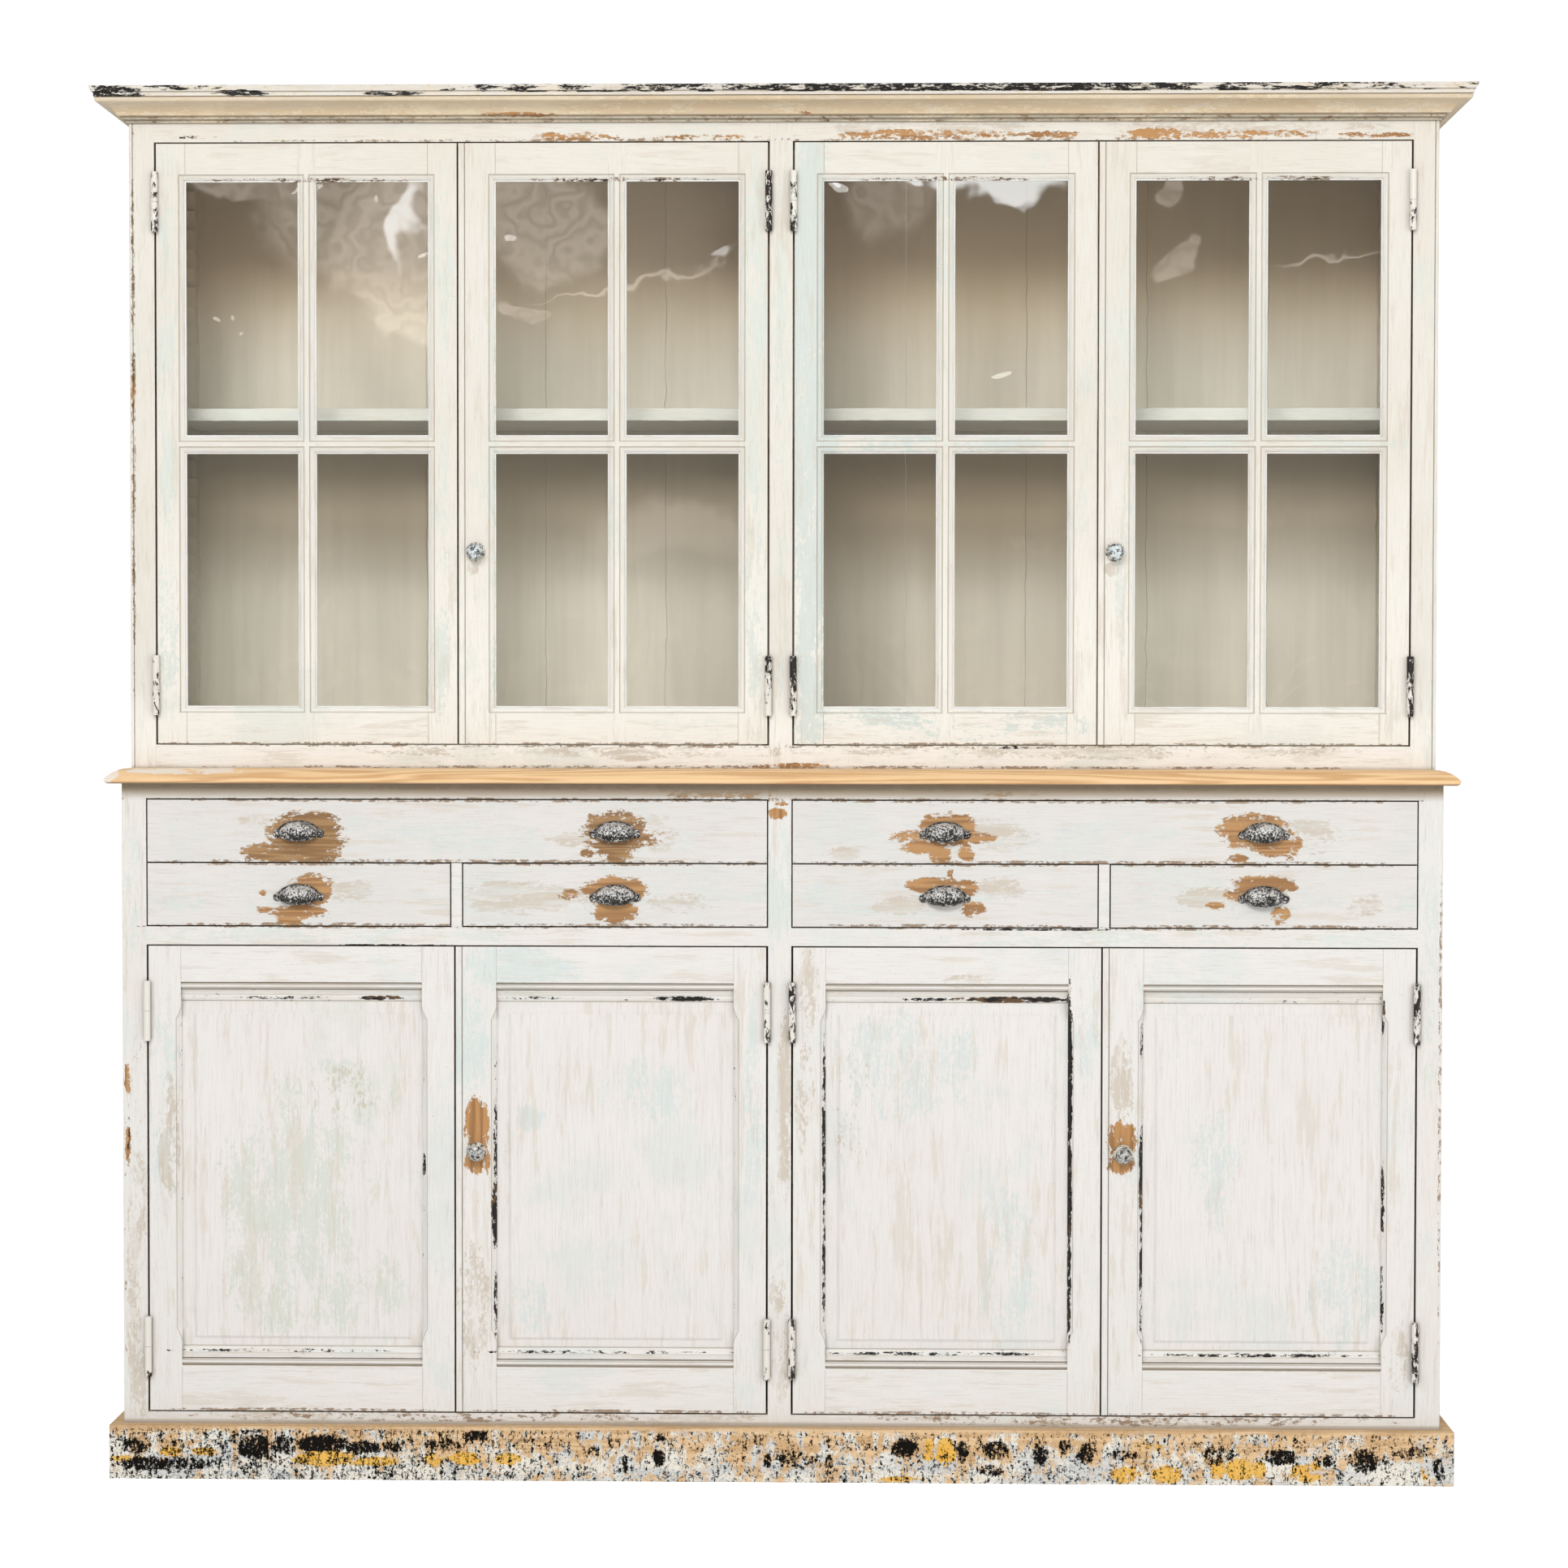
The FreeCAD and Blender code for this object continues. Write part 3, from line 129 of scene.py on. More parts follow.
softwood, given, result = shared_effect(
    "softwood grain",
    [("Position", PLACE, (0, 0, 0)), ("Upright", NUMBER, 1.0), ("Pale", TINT, (1, 1, 1, 1)),
     ("Dark", TINT, (0, 0, 0, 1))],
    [("Color", TINT), ("Height", NUMBER)],
)
run = grained(softwood, given["Position"], given["Upright"], 0.045)
growth = cloudy(softwood, run, 26.0, 2.0, 0.45, 0.5)
ring = calc(softwood, "SINE", times(softwood, growth, 62.0))
fibre = cloudy(softwood, run, 520.0, 2.0, 0.6)
shade = calc(softwood, "MULTIPLY_ADD", ring, 0.28, calc(softwood, "MULTIPLY_ADD", fibre, 0.5, 0.28))
feed(softwood, result, {
    "Color": mixed(softwood, ease(softwood, shade, 0.15, 0.95), given["Pale"], given["Dark"]),
    "Height": fibre,
})


def timber(tree, place, upright, pale, dark):
    """Softwood whose grain stands where upright is 1 and lies where it is 0."""
    return use(tree, softwood, {"Position": place, "Upright": upright, "Pale": pale, "Dark": dark})


def new_material(name):
    material = bpy.data.materials.new(name)
    material.use_nodes = True
    tree = material.node_tree
    surface = tree.nodes["Principled BSDF"]
    place = put(tree, "ShaderNodeTexCoord").outputs["Object"]
    return material, tree, surface, place


def raised(tree, surface, height, strength, distance, softened=0.0):
    """Bumps the surface by a height between 0 and 1 times distance in metres. softened is the
    radius to which its sharp edges look rounded."""
    bump = put(tree, "ShaderNodeBump",
               {"Height": height, "Strength": strength, "Distance": distance})
    if softened:
        rounding = put(tree, "ShaderNodeBevel", {"Radius": softened}, samples=4)
        feed(tree, bump, {"Normal": rounding.outputs[0]})
    feed(tree, surface, {"Normal": bump.outputs[0]})


def plain_pine(name, pale, dark, upright):
    material, tree, surface, place = new_material(name)
    wood = timber(tree, place, upright, pale, dark)
    browned = ease(tree, cloudy(tree, place, 7.0, 4.0, 0.6), 0.35, 0.75, 0.0, 0.35)
    feed(tree, surface, {"Base Color": mixed(tree, browned, wood["Color"], dark),
                         "Roughness": 0.62})
    raised(tree, surface, wood["Height"], 0.25, 0.0006, 0.001)
    return material


def dress(material, *nodes):
    """Gives CAD pieces their finish."""
    for name in nodes:
        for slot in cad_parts[name].material_slots:
            slot.material = material


BROWN_PALE, BROWN_DARK = (0.43, 0.275, 0.145, 1), (0.33, 0.20, 0.10, 1)
dress(plain_pine("brown_pine_upright", BROWN_PALE, BROWN_DARK, 1.0), "base_back", "base_partition")
dress(plain_pine("brown_pine_lying", BROWN_PALE, BROWN_DARK, 0.0), "base_floor", "base_shelves",
      "drawer_runners")

# Ends and face frame of the lower case: softwood boards, brushed with many coats of oil paint.
# The last coat is off-white. Flakes and rubs show beige, pale green and bare wood below it.
oval, given, result = shared_effect(
    "oval mark",
    [("Position", PLACE, (0, 0, 0)), ("Centre", PLACE, (0, 0, 0)), ("Reach", PLACE, (1, 1, 1)),
     ("Strength", NUMBER, 1.0)],
    [("Mask", NUMBER)],
)
offset = along(oval, "DIVIDE", along(oval, "SUBTRACT", given["Position"], given["Centre"]),
               given["Reach"])
length = put(oval, "ShaderNodeVectorMath", {0: offset}, operation="LENGTH").outputs["Value"]
feed(oval, result, {"Mask": times(oval, ease(oval, length, 0.55, 1.45, 1.0, 0.0),
                                  given["Strength"])})

arris, given, result = shared_effect("worn arris", [("Reach", NUMBER, 0.002)], [("Mask", NUMBER)])
rounded = put(arris, "ShaderNodeBevel", {"Radius": given["Reach"]}, samples=4).outputs[0]
true_normal = put(arris, "ShaderNodeNewGeometry").outputs["True Normal"]
agree = put(arris, "ShaderNodeVectorMath", {0: rounded, 1: true_normal},
            operation="DOT_PRODUCT").outputs["Value"]
feed(arris, result, {"Mask": ease(arris, agree, 0.72, 0.995, 1.0, 0.0)})


def worn_arris(tree, reach):
    """1 on edges, fading over the reach to each side of them."""
    return use(tree, arris, {"Reach": reach})["Mask"]


def openness(tree, reach):
    """1 on open surfaces, less in corners and gaps that are narrower than the reach."""
    return put(tree, "ShaderNodeAmbientOcclusion", {"Distance": reach}, samples=6).outputs["AO"]


def split(tree, position):
    """The X, Y and Z of a position."""
    return put(tree, "ShaderNodeSeparateXYZ", {0: position}).outputs


def weighed(tree, first, share, second):
    """A share of the first noise and the rest of the second."""
    return calc(tree, "MULTIPLY_ADD", first, share, times(tree, second, 1.0 - share))


def torn(tree, mask, edge_noise, spread):
    """A soft mask made ragged, but only where there is some of it. What shows is above 0.5."""
    swing = times(tree, calc(tree, "SUBTRACT", edge_noise, 0.5), ease(tree, mask, 0.0, 0.35))
    return calc(tree, "MULTIPLY_ADD", swing, spread, mask)


paint, given, result = shared_effect(
    "old paint",
    [("Position", PLACE, (0, 0, 0)), ("Upright", NUMBER, 1.0), ("Coat", TINT, (1, 1, 1, 1)),
     ("Shade", TINT, (1, 1, 1, 1)), ("Tint", TINT, (1, 1, 1, 1)), ("Tinted", NUMBER, 0.0),
     ("Wood", TINT, (1, 1, 1, 1)), ("Bare", NUMBER, 0.0), ("Flaked", NUMBER, 0.0),
     ("Chipped", NUMBER, 0.0), ("Nicked", NUMBER, 0.0)],
    [("Color", TINT), ("Roughness", NUMBER), ("Height", NUMBER)],
)
spot, upright = given["Position"], given["Upright"]


def strokes(squeeze, *noise):
    """Noise in streaks along the grain, which are longer the smaller squeeze is."""
    return cloudy(paint, grained(paint, spot, upright, squeeze), *noise)


brush = strokes(0.03, 620.0, 3.0, 0.66)
stroke = strokes(0.09, 70.0, 7.0, 0.74, 0.2)
smear = strokes(0.28, 30.0, 9.0, 0.76, 0.35)
broken = strokes(0.45, 62.0, 9.0, 0.76, 0.3)
flecks = strokes(0.50, 210.0, 7.0, 0.76, 0.2)
drift = cloudy(paint, spot, 3.4, 4.0, 0.6)
mottle = cloudy(paint, along(paint, "ADD", spot, (5.3, 2.2, 7.7)), 5.2, 6.0, 0.66)
ragged = weighed(paint, flecks, 0.5, broken)
streaked = weighed(paint, flecks, 0.45, smear)

# Where the paint is cool or hazed, thin, flaked, scuffed, specked, bare, nicked or chipped.
cool = weighed(paint, mottle, 0.6, streaked)
haze = torn(paint, given["Tinted"], streaked, 6.0)
thin = ease(paint, calc(paint, "MULTIPLY_ADD", mottle, -0.4, calc(paint, "ADD", stroke, 0.1)),
            0.44, 0.52, 0.0, 0.42)
flake_depth = torn(paint, given["Flaked"], streaked, 6.5)
flaked = times(paint, ease(paint, flake_depth, 0.5, 0.53, 0.0, 0.9),
               ease(paint, stroke, 0.40, 0.56, 0.25, 1.0))
scratches = cloudy(paint, grained(paint, along(paint, "ADD", spot, (1.1, 3.3, 2.2)), upright, 0.06),
                   170.0, 5.0, 0.7, 0.4)
scuffs = times(paint, ease(paint, scratches, 0.615, 0.67, 0.0, 0.17),
               ease(paint, mottle, 0.50, 0.58, 0.06, 1.0))
specks = ease(paint, cloudy(paint, spot, 480.0, 2.0, 0.5), 0.70, 0.75, 0.0, 0.6)
bare_depth = torn(paint, given["Bare"], ragged, 6.0)
kept = times(paint, ease(paint, flecks, 0.585, 0.62), ease(paint, bare_depth, 0.60, 1.10, 1.0, 0.0))
bare = times(paint, ease(paint, bare_depth, 0.50, 0.53), calc(paint, "SUBTRACT", 1.0, kept))
nick = ease(paint, torn(paint, given["Nicked"], ragged, 6.5), 0.5, 0.55, 0.0, 0.85)
chips = ease(paint, torn(paint, given["Chipped"], ragged, 6.0), 0.5, 0.54)

BEIGE_UNDERCOAT, OLDER_BEIGE = (0.565, 0.505, 0.42, 1), (0.545, 0.48, 0.40, 1)
BRUSH_DIRT, SCUFF_BROWN = (0.44, 0.39, 0.32, 1), (0.42, 0.34, 0.25, 1)
SPECK_BROWN, NICK_BROWN = (0.30, 0.24, 0.17, 1), (0.25, 0.155, 0.085, 1)
FEATHERED_RIM = (0.68, 0.60, 0.48, 1)
BLACK_COAT, BROWN_COAT = (0.012, 0.011, 0.010, 1), (0.12, 0.07, 0.035, 1)
# What lies over the last coat or shows through it, each over those before it.
coats = layered(
    paint, given["Coat"],
    (ease(paint, drift, 0.36, 0.64), given["Shade"]),
    (ease(paint, cool, 0.52, 0.585, 0.0, 0.42), given["Tint"]),
    (ease(paint, haze, 0.46, 0.60, 0.0, 0.78), given["Tint"]),
    (thin, BEIGE_UNDERCOAT),
    (flaked, OLDER_BEIGE),
    (ease(paint, brush, 0.44, 0.78, 0.0, 0.34), BRUSH_DIRT),
    (scuffs, SCUFF_BROWN),
    (specks, SPECK_BROWN),
    (ease(paint, bare_depth, 0.36, 0.5, 0.0, 0.65), FEATHERED_RIM),
    (bare, given["Wood"]),
    (nick, NICK_BROWN),
    (chips, mixed(paint, ease(paint, smear, 0.54, 0.60), BLACK_COAT, BROWN_COAT)),
)
lost = calc(paint, "MAXIMUM", calc(paint, "MAXIMUM", bare, nick), chips)
level = calc(paint, "MULTIPLY_ADD", brush, 0.35, times(paint, lost, -0.65))
feed(paint, result, {
    "Color": coats,
    "Roughness": ease(paint, calc(paint, "ADD", bare, brush), 0.0, 2.0, 0.50, 0.74),
    "Height": calc(paint, "ADD", level, calc(paint, "MULTIPLY_ADD", flaked, -0.2, 0.8)),
})


def marks(tree, place, ovals):
    """The strongest of several soft marks: (x, z, half width, half height, strength) each."""
    total = 0.0
    for x, z, half_width, half_height, strength in ovals:
        mark = use(tree, oval, {"Position": place, "Centre": (x, 0, z),
                                "Reach": (half_width, 10, half_height), "Strength": strength})
        total = mark["Mask"] if total == 0.0 else calc(tree, "MAXIMUM", total, mark["Mask"])
    return total


PATCH_PALE, PATCH_DARK = (0.46, 0.245, 0.098, 1), (0.29, 0.142, 0.056, 1)


def painted(name, coat, shade, tint=(0.60, 0.64, 0.60, 1), uprights=None, seed=0.0, bare=(),
            flaked=(), chipped=(), nicked=(), tinted=(), worn_edges=0.30, edge_reach=0.0032,
            face=None, recess=0.0, recess_coat=None, ends=None, corner_grime_and_shade=0.6,
            wood=(PATCH_PALE, PATCH_DARK), lines=(), stains_and_shade=(), lighter=None, mark_depth=None,
            inside=None):
    """Old paint over pine. uprights lists (x, half width) where the grain stands, or None for
    everywhere. face is the y of the front, behind which mouldings get recess chips and colour,
    and a dark line of soiling and painted shade where they leave the front. ends is a box whose
    outer x and z faces, in the gaps, and the outermost rim of its front are darkened as grimy
    edges and as painted shade in the gaps. lines are joints and quirks, darkened as soiling and,
    on the moulded rails, as painted shade. lighter is a paler coat below one height, which fades
    out up to another: painted light. Corners and gaps narrower than 9 mm are darkened as soiling
    and painted shade. Marks stop at the y of mark_depth, and bare pine of the inside colours
    starts there."""
    material, tree, surface, place = new_material(name)
    parts = split(tree, place)
    upright = 1.0
    if uprights is not None:
        upright = 0.0
        for x, half_width in uprights:
            within = calc(tree, "COMPARE", parts["X"], x, half_width)
            upright = within if upright == 0.0 else calc(tree, "MAXIMUM", upright, within)
    moved = along(tree, "ADD", place, (seed * 1.7, seed * 0.9, seed * 2.3))
    near = 1.0
    if mark_depth is not None:
        near = ease(tree, parts["Y"], mark_depth, mark_depth + 0.0005, 1.0, 0.0)

    def front_marks(ovals):
        return times(tree, marks(tree, place, ovals), near) if ovals else 0.0

    patchy = ease(tree, cloudy(tree, moved, 6.5, 5.0, 0.65), 0.36, 0.62, 0.25, 1.0)
    edge = times(tree, worn_arris(tree, edge_reach), patchy)
    nick = calc(tree, "MAXIMUM", front_marks(nicked), times(tree, edge, worn_edges))
    chip = calc(tree, "MAXIMUM", front_marks(chipped), times(tree, edge, worn_edges * 0.62))
    colour, shaded = coat, shade
    if lighter is not None:
        low_down = ease(tree, parts["Z"], lighter[0], lighter[1], 1.0, 0.0)
        colour = mixed(tree, low_down, coat, lighter[2])
        shaded = mixed(tree, low_down, shade, lighter[2])
    if face is not None:
        deep = ease(tree, parts["Y"], face + 0.0020, face + 0.0060)
        recessed = times(tree, deep, 0.8)
        colour = mixed(tree, recessed, colour, recess_coat)
        shaded = mixed(tree, recessed, shaded, recess_coat)
        chip = calc(tree, "MAXIMUM", chip, times(tree, deep, recess))
    old = use(tree, paint, {
        "Position": moved, "Upright": upright, "Coat": colour, "Shade": shaded, "Tint": tint,
        "Tinted": front_marks(tinted), "Wood": timber(tree, moved, upright, *wood)["Color"],
        "Bare": front_marks(bare), "Flaked": front_marks(flaked), "Chipped": chip,
        "Nicked": nick,
    })
    dirt_and_shade, corner_grime_and_shade_colour = (0.30, 0.24, 0.165, 1), (0.20, 0.155, 0.105, 1)
    # Corners and gaps narrower than 9 mm are darkened: soiling, and painted shade where light falls
    # off there.
    corner = ease(tree, openness(tree, 0.009), 0.35, 0.93, corner_grime_and_shade, 0.0)
    finish = mixed(tree, corner, old["Color"], corner_grime_and_shade_colour)
    if face is not None:
        # A thin dark line where a moulding leaves the front: soiling, and painted shade in the
        # groove.
        quirk_soiling_and_shade = times(tree, ease(tree, parts["Y"], face + 0.0003, face + 0.0006),
                      ease(tree, parts["Y"], face + 0.0012, face + 0.0018, 1.0, 0.0))
        finish = mixed(tree, times(tree, quirk_soiling_and_shade, 0.55), finish, dirt_and_shade)
    for x, z, half_width, half_height, strength in lines:
        within = times(tree, calc(tree, "COMPARE", parts["X"], x, half_width),
                       calc(tree, "COMPARE", parts["Z"], z, half_height))
        finish = mixed(tree, times(tree, times(tree, within, near), strength), finish, dirt_and_shade)
    if stains_and_shade:
        finish = mixed(tree, marks(tree, place, stains_and_shade), finish, dirt_and_shade)
    if ends is not None:
        low, high = ends
        centre = (low + high) / 2
        half = (high - low) / 2 - Vector((0.0004, -1, 0.0004))
        past = put(tree, "ShaderNodeVectorMath", {0: along(tree, "SUBTRACT", place, centre)},
                   operation="ABSOLUTE").outputs[0]
        past = split(tree, along(tree, "SUBTRACT", past, half))
        # The gap faces and the outermost rim of the front are darkened: grimy edges, and painted
        # shade that deepens the gaps.
        gap_shade_and_grime = ease(tree, calc(tree, "MAXIMUM", past["X"], past["Z"]), 0.0, 0.0003, 0.0, 0.8)
        finish = mixed(tree, gap_shade_and_grime, finish, (0.27, 0.205, 0.14, 1))
    if inside is not None:
        behind = calc(tree, "SUBTRACT", 1.0, near)
        finish = mixed(tree, behind, finish, timber(tree, moved, 0.0, *inside)["Color"])
    feed(tree, surface, {"Base Color": finish, "Roughness": old["Roughness"],
                         "Specular IOR Level": 0.22})
    raised(tree, surface, old["Height"], 0.55, 0.0009, 0.0014)
    return material


BASE_WHITE, BASE_SHADE = (0.695, 0.682, 0.652, 1), (0.70, 0.665, 0.63, 1)
BASE_STILE, CENTRE_STILE_HALF = 0.039, 0.0185
base_low, base_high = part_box("base_face_frame")
base_stiles = [(base_low.x, BASE_STILE), (0.0, CENTRE_STILE_HALF), (base_high.x, BASE_STILE)]
dress(painted(
    "base_frame_paint", BASE_WHITE, BASE_SHADE, uprights=base_stiles, seed=1.0,
    bare=[(-0.004, 1.068, 0.014, 0.009, 0.9), (0.004, 1.084, 0.012, 0.004, 0.7),
          (base_low.x + 0.008, 0.637, 0.005, 0.03, 0.62),
          (base_low.x + 0.008, 0.53, 0.005, 0.035, 0.66), (-0.10, 1.098, 0.09, 0.005, 0.60),
          (0.37, 1.100, 0.05, 0.004, 0.5)],
    flaked=[(0.008, 0.60, 0.014, 0.14, 0.70), (0.0, 0.25, 0.02, 0.14, 0.46),
            (-0.75, 0.098, 0.20, 0.012, 0.46), (-0.18, 0.098, 0.16, 0.012, 0.55),
            (0.55, 0.098, 0.35, 0.012, 0.50), (-1.03, 0.30, 0.02, 0.25, 0.42),
            (-1.03, 0.62, 0.02, 0.1, 0.34)],
    chipped=[(-0.10, 1.105, 0.10, 0.006, 0.60), (0.0, 1.1125, 1.1, 0.004, 0.50),
             (-0.65, 1.110, 0.35, 0.004, 0.36), (0.42, 0.884, 0.14, 0.0016, 0.7),
             (-0.62, 0.8565, 0.1, 0.002, 0.6), (base_low.x + 0.009, 0.55, 0.003, 0.1, 0.26)],
    nicked=[(-0.6, 0.100, 0.45, 0.012, 0.30), (0.55, 0.100, 0.48, 0.012, 0.36),
            (0.0, 1.1105, 1.1, 0.006, 0.5), (0.0, 1.0905, 1.1, 0.003, 0.44),
            (-0.6, 0.886, 0.45, 0.003, 0.45), (0.55, 0.886, 0.48, 0.003, 0.45),
            (base_low.x + 0.004, 0.5, 0.004, 0.4, 0.22),
            (base_high.x - 0.003, 0.6, 0.003, 0.4, 0.4)],
    tinted=[(-1.035, 0.93, 0.03, 0.13, 0.45), (0.0, 0.95, 0.03, 0.10, 0.62),
            (-0.75, 0.872, 0.4, 0.02, 0.42), (0.6, 0.872, 0.45, 0.02, 0.40),
            (base_high.x - 0.02, 0.8, 0.03, 0.2, 0.42)],
    tint=(0.60, 0.645, 0.60, 1),
    # The first band is painted shadow under the worktop nose; the second darkens a thin band just
    # above the plinth.
    stains_and_shade=[(0.0, 1.115, 3.0, 0.020, 0.96), (0.0, 0.087, 3.0, 0.005, 0.5)],
), "base_face_frame")
dress(painted("base_end_paint", BASE_WHITE, BASE_SHADE, seed=2.0,
              chipped=[(0.0, 0.5, 3.0, 0.5, 0.18)], flaked=[(0.0, 0.1, 3.0, 0.1, 0.42)]),
      "base_sides")

# Plinth: mitred softwood boards planted round the foot of the case. Kicks and mops have taken
# most of the paint off, so black, grey-white, ochre and bare pine lie beside each other.
material, tree, surface, place = new_material("plinth_wear")
wood = timber(tree, place, 0.0, (0.70, 0.49, 0.285, 1), (0.55, 0.355, 0.185, 1))
parts = split(tree, place)
tall = along(tree, "MULTIPLY", place, (1.0, 1.0, 0.32))
wide = along(tree, "MULTIPLY", place, (0.30, 1.0, 1.0))
ragged = cloudy(tree, tall, 120.0, 9.0, 0.80, 0.3)
crumbs = cloudy(tree, along(tree, "ADD", place, (2.0, 0, 4.0)), 260.0, 6.0, 0.74)
patch = cloudy(tree, along(tree, "MULTIPLY", place, (1.0, 1.0, 0.7)), 34.0, 5.0, 0.66, 0.4)
wiped = cloudy(tree, along(tree, "ADD", wide, (0, 0, 5.0)), 34.0, 8.0, 0.72, 0.3)
edge_noise = weighed(tree, ragged, 0.5, crumbs)
leftward = ease(tree, parts["X"], -0.55, -0.30, 0.10, 0.0)
foot = ease(tree, parts["Z"], 0.012, 0.070, 0.26, 0.0)
white_mask = calc(tree, "MAXIMUM", calc(tree, "ADD", foot, calc(tree, "ADD", leftward, 0.41)),
                  marks(tree, place, [
                      (-0.885, 0.045, 0.012, 0.04, 0.9), (0.176, 0.03, 0.03, 0.025, 0.9),
                      (0.42, 0.035, 0.06, 0.03, 0.72), (0.70, 0.03, 0.2, 0.03, 0.62),
                      (0.97, 0.02, 0.1, 0.025, 0.85), (-0.95, 0.07, 0.10, 0.01, 0.7)]))
white = ease(tree, torn(tree, white_mask, weighed(tree, patch, 0.45, edge_noise), 5.0), 0.48, 0.53)
grey_white = mixed(tree, ease(tree, wiped, 0.40, 0.56), (0.56, 0.585, 0.59, 1),
                   (0.76, 0.74, 0.67, 1))
ochre_mask = marks(tree, place, [
    (-0.975, 0.042, 0.020, 0.010, 0.85), (-0.915, 0.042, 0.035, 0.009, 0.70),
    (-1.03, 0.032, 0.045, 0.006, 0.60), (-0.726, 0.035, 0.050, 0.012, 1.0),
    (-0.652, 0.030, 0.050, 0.008, 0.76), (-0.552, 0.033, 0.017, 0.011, 0.76),
    (-0.503, 0.035, 0.028, 0.012, 0.95), (-0.433, 0.035, 0.022, 0.010, 0.62),
    (-0.328, 0.046, 0.006, 0.020, 0.70), (0.239, 0.050, 0.010, 0.022, 0.85),
    (0.266, 0.046, 0.018, 0.024, 0.98), (0.196, 0.006, 0.04, 0.005, 0.70),
    (0.552, 0.016, 0.024, 0.016, 0.76), (0.620, 0.017, 0.027, 0.016, 0.76),
    (0.699, 0.024, 0.011, 0.018, 0.92), (0.734, 0.024, 0.023, 0.018, 0.96),
    (0.765, 0.024, 0.011, 0.014, 0.76), (0.843, 0.022, 0.028, 0.016, 0.80),
    (0.58, 0.060, 0.035, 0.008, 0.58), (1.029, 0.028, 0.007, 0.018, 0.66)])
ochre_depth = torn(tree, times(tree, ochre_mask, 0.95), weighed(tree, wiped, 0.5, ragged), 5.6)
ochre = ease(tree, ochre_depth, 0.50, 0.55)
ochres = mixed(tree, ease(tree, wiped, 0.4, 0.6), (0.76, 0.41, 0.06, 1), (0.74, 0.45, 0.11, 1))
black_mask = marks(tree, place, [
    (-1.034, 0.052, 0.026, 0.014, 0.76), (-1.010, 0.025, 0.055, 0.012, 0.85),
    (-0.945, 0.025, 0.055, 0.010, 0.72), (-0.890, 0.050, 0.009, 0.016, 0.60),
    (-0.841, 0.052, 0.026, 0.021, 0.98), (-0.796, 0.055, 0.024, 0.017, 0.76),
    (-0.731, 0.058, 0.046, 0.014, 1.05), (-0.667, 0.053, 0.034, 0.012, 0.85),
    (-0.627, 0.052, 0.028, 0.011, 0.70), (-0.488, 0.072, 0.024, 0.010, 0.82),
    (-0.538, 0.057, 0.034, 0.013, 0.60), (-0.836, 0.022, 0.022, 0.009, 0.60),
    (-0.296, 0.048, 0.011, 0.010, 0.66), (-0.246, 0.028, 0.005, 0.016, 0.86),
    (-0.192, 0.038, 0.011, 0.015, 0.95), (-0.192, 0.070, 0.010, 0.005, 0.80),
    (-0.018, 0.036, 0.007, 0.013, 0.95), (0.027, 0.036, 0.034, 0.016, 0.60),
    (0.080, 0.034, 0.007, 0.013, 0.76), (0.201, 0.056, 0.022, 0.016, 0.95),
    (0.293, 0.053, 0.010, 0.018, 0.86), (0.345, 0.054, 0.022, 0.016, 0.76),
    (0.336, 0.021, 0.024, 0.010, 0.62), (0.416, 0.047, 0.015, 0.017, 0.76),
    (0.453, 0.058, 0.008, 0.016, 0.76), (0.490, 0.050, 0.015, 0.017, 0.86),
    (0.55, 0.047, 0.030, 0.008, 0.62), (0.70, 0.047, 0.030, 0.016, 0.66),
    (0.80, 0.045, 0.030, 0.013, 0.86), (0.875, 0.040, 0.012, 0.010, 0.85),
    (0.932, 0.040, 0.022, 0.020, 0.82), (1.007, 0.052, 0.034, 0.010, 0.58),
    (1.049, 0.027, 0.010, 0.017, 0.76)])
sprinkled = calc(tree, "MULTIPLY_ADD", leftward, 1.05, 0.29)
black_level = torn(tree, calc(tree, "MAXIMUM", black_mask, sprinkled), edge_noise, 7.0)
black = ease(tree, black_level, 0.50, 0.53)
shoulder = ease(tree, parts["Z"], 0.079, 0.083)
finish = layered(
    tree, wood["Color"],
    (times(tree, white, 0.93), grey_white),
    (ochre, ochres),
    (black, (0.005, 0.004, 0.003, 1)),
    (times(tree, shoulder, 0.85), wood["Color"]),
)
feed(tree, surface, {"Base Color": finish, "Roughness": 0.75, "Specular IOR Level": 0.08})
raised(tree, surface, calc(tree, "MULTIPLY_ADD", calc(tree, "MAXIMUM", black, ochre), 0.6, ragged),
       0.5, 0.0009, 0.002)
dress(material, "plinth")

# Worktop: one wide softwood board with a thumbnail nose, stripped and waxed to a honey colour,
# lying loose on the lower case.
material, tree, surface, place = new_material("waxed_pine")
wood = timber(tree, place, 0.0, (0.82, 0.56, 0.305, 1), (0.60, 0.345, 0.15, 1))
ragged = cloudy(tree, along(tree, "MULTIPLY", place, (0.4, 1, 1)), 70.0, 8.0, 0.72)
rubs = torn(tree, times(tree, worn_arris(tree, 0.004), 0.46), ragged, 1.5)
flour = marks(tree, place, [(-0.95, 1.135, 0.12, 0.006, 0.62), (-1.075, 1.13, 0.02, 0.02, 0.7)])
finish = layered(
    tree, wood["Color"],
    (times(tree, ease(tree, rubs, 0.47, 0.6), 0.7), (0.78, 0.70, 0.58, 1)),
    (ease(tree, torn(tree, flour, ragged, 1.8), 0.48, 0.56, 0.0, 0.75), (0.76, 0.72, 0.66, 1)),
    # The underside and the lowest few mm of the nose are painted dark brown: painted shade under
    # the worktop.
    (ease(tree, split(tree, place)["Z"], 1.1152, 1.1185, 0.8, 0.0), (0.13, 0.08, 0.045, 1)),
)
feed(tree, surface, {"Base Color": finish,
                     "Roughness": ease(tree, wood["Height"], 0.3, 0.7, 0.36, 0.5)})
raised(tree, surface, wood["Height"], 0.35, 0.0007, 0.001)
dress(material, "worktop")

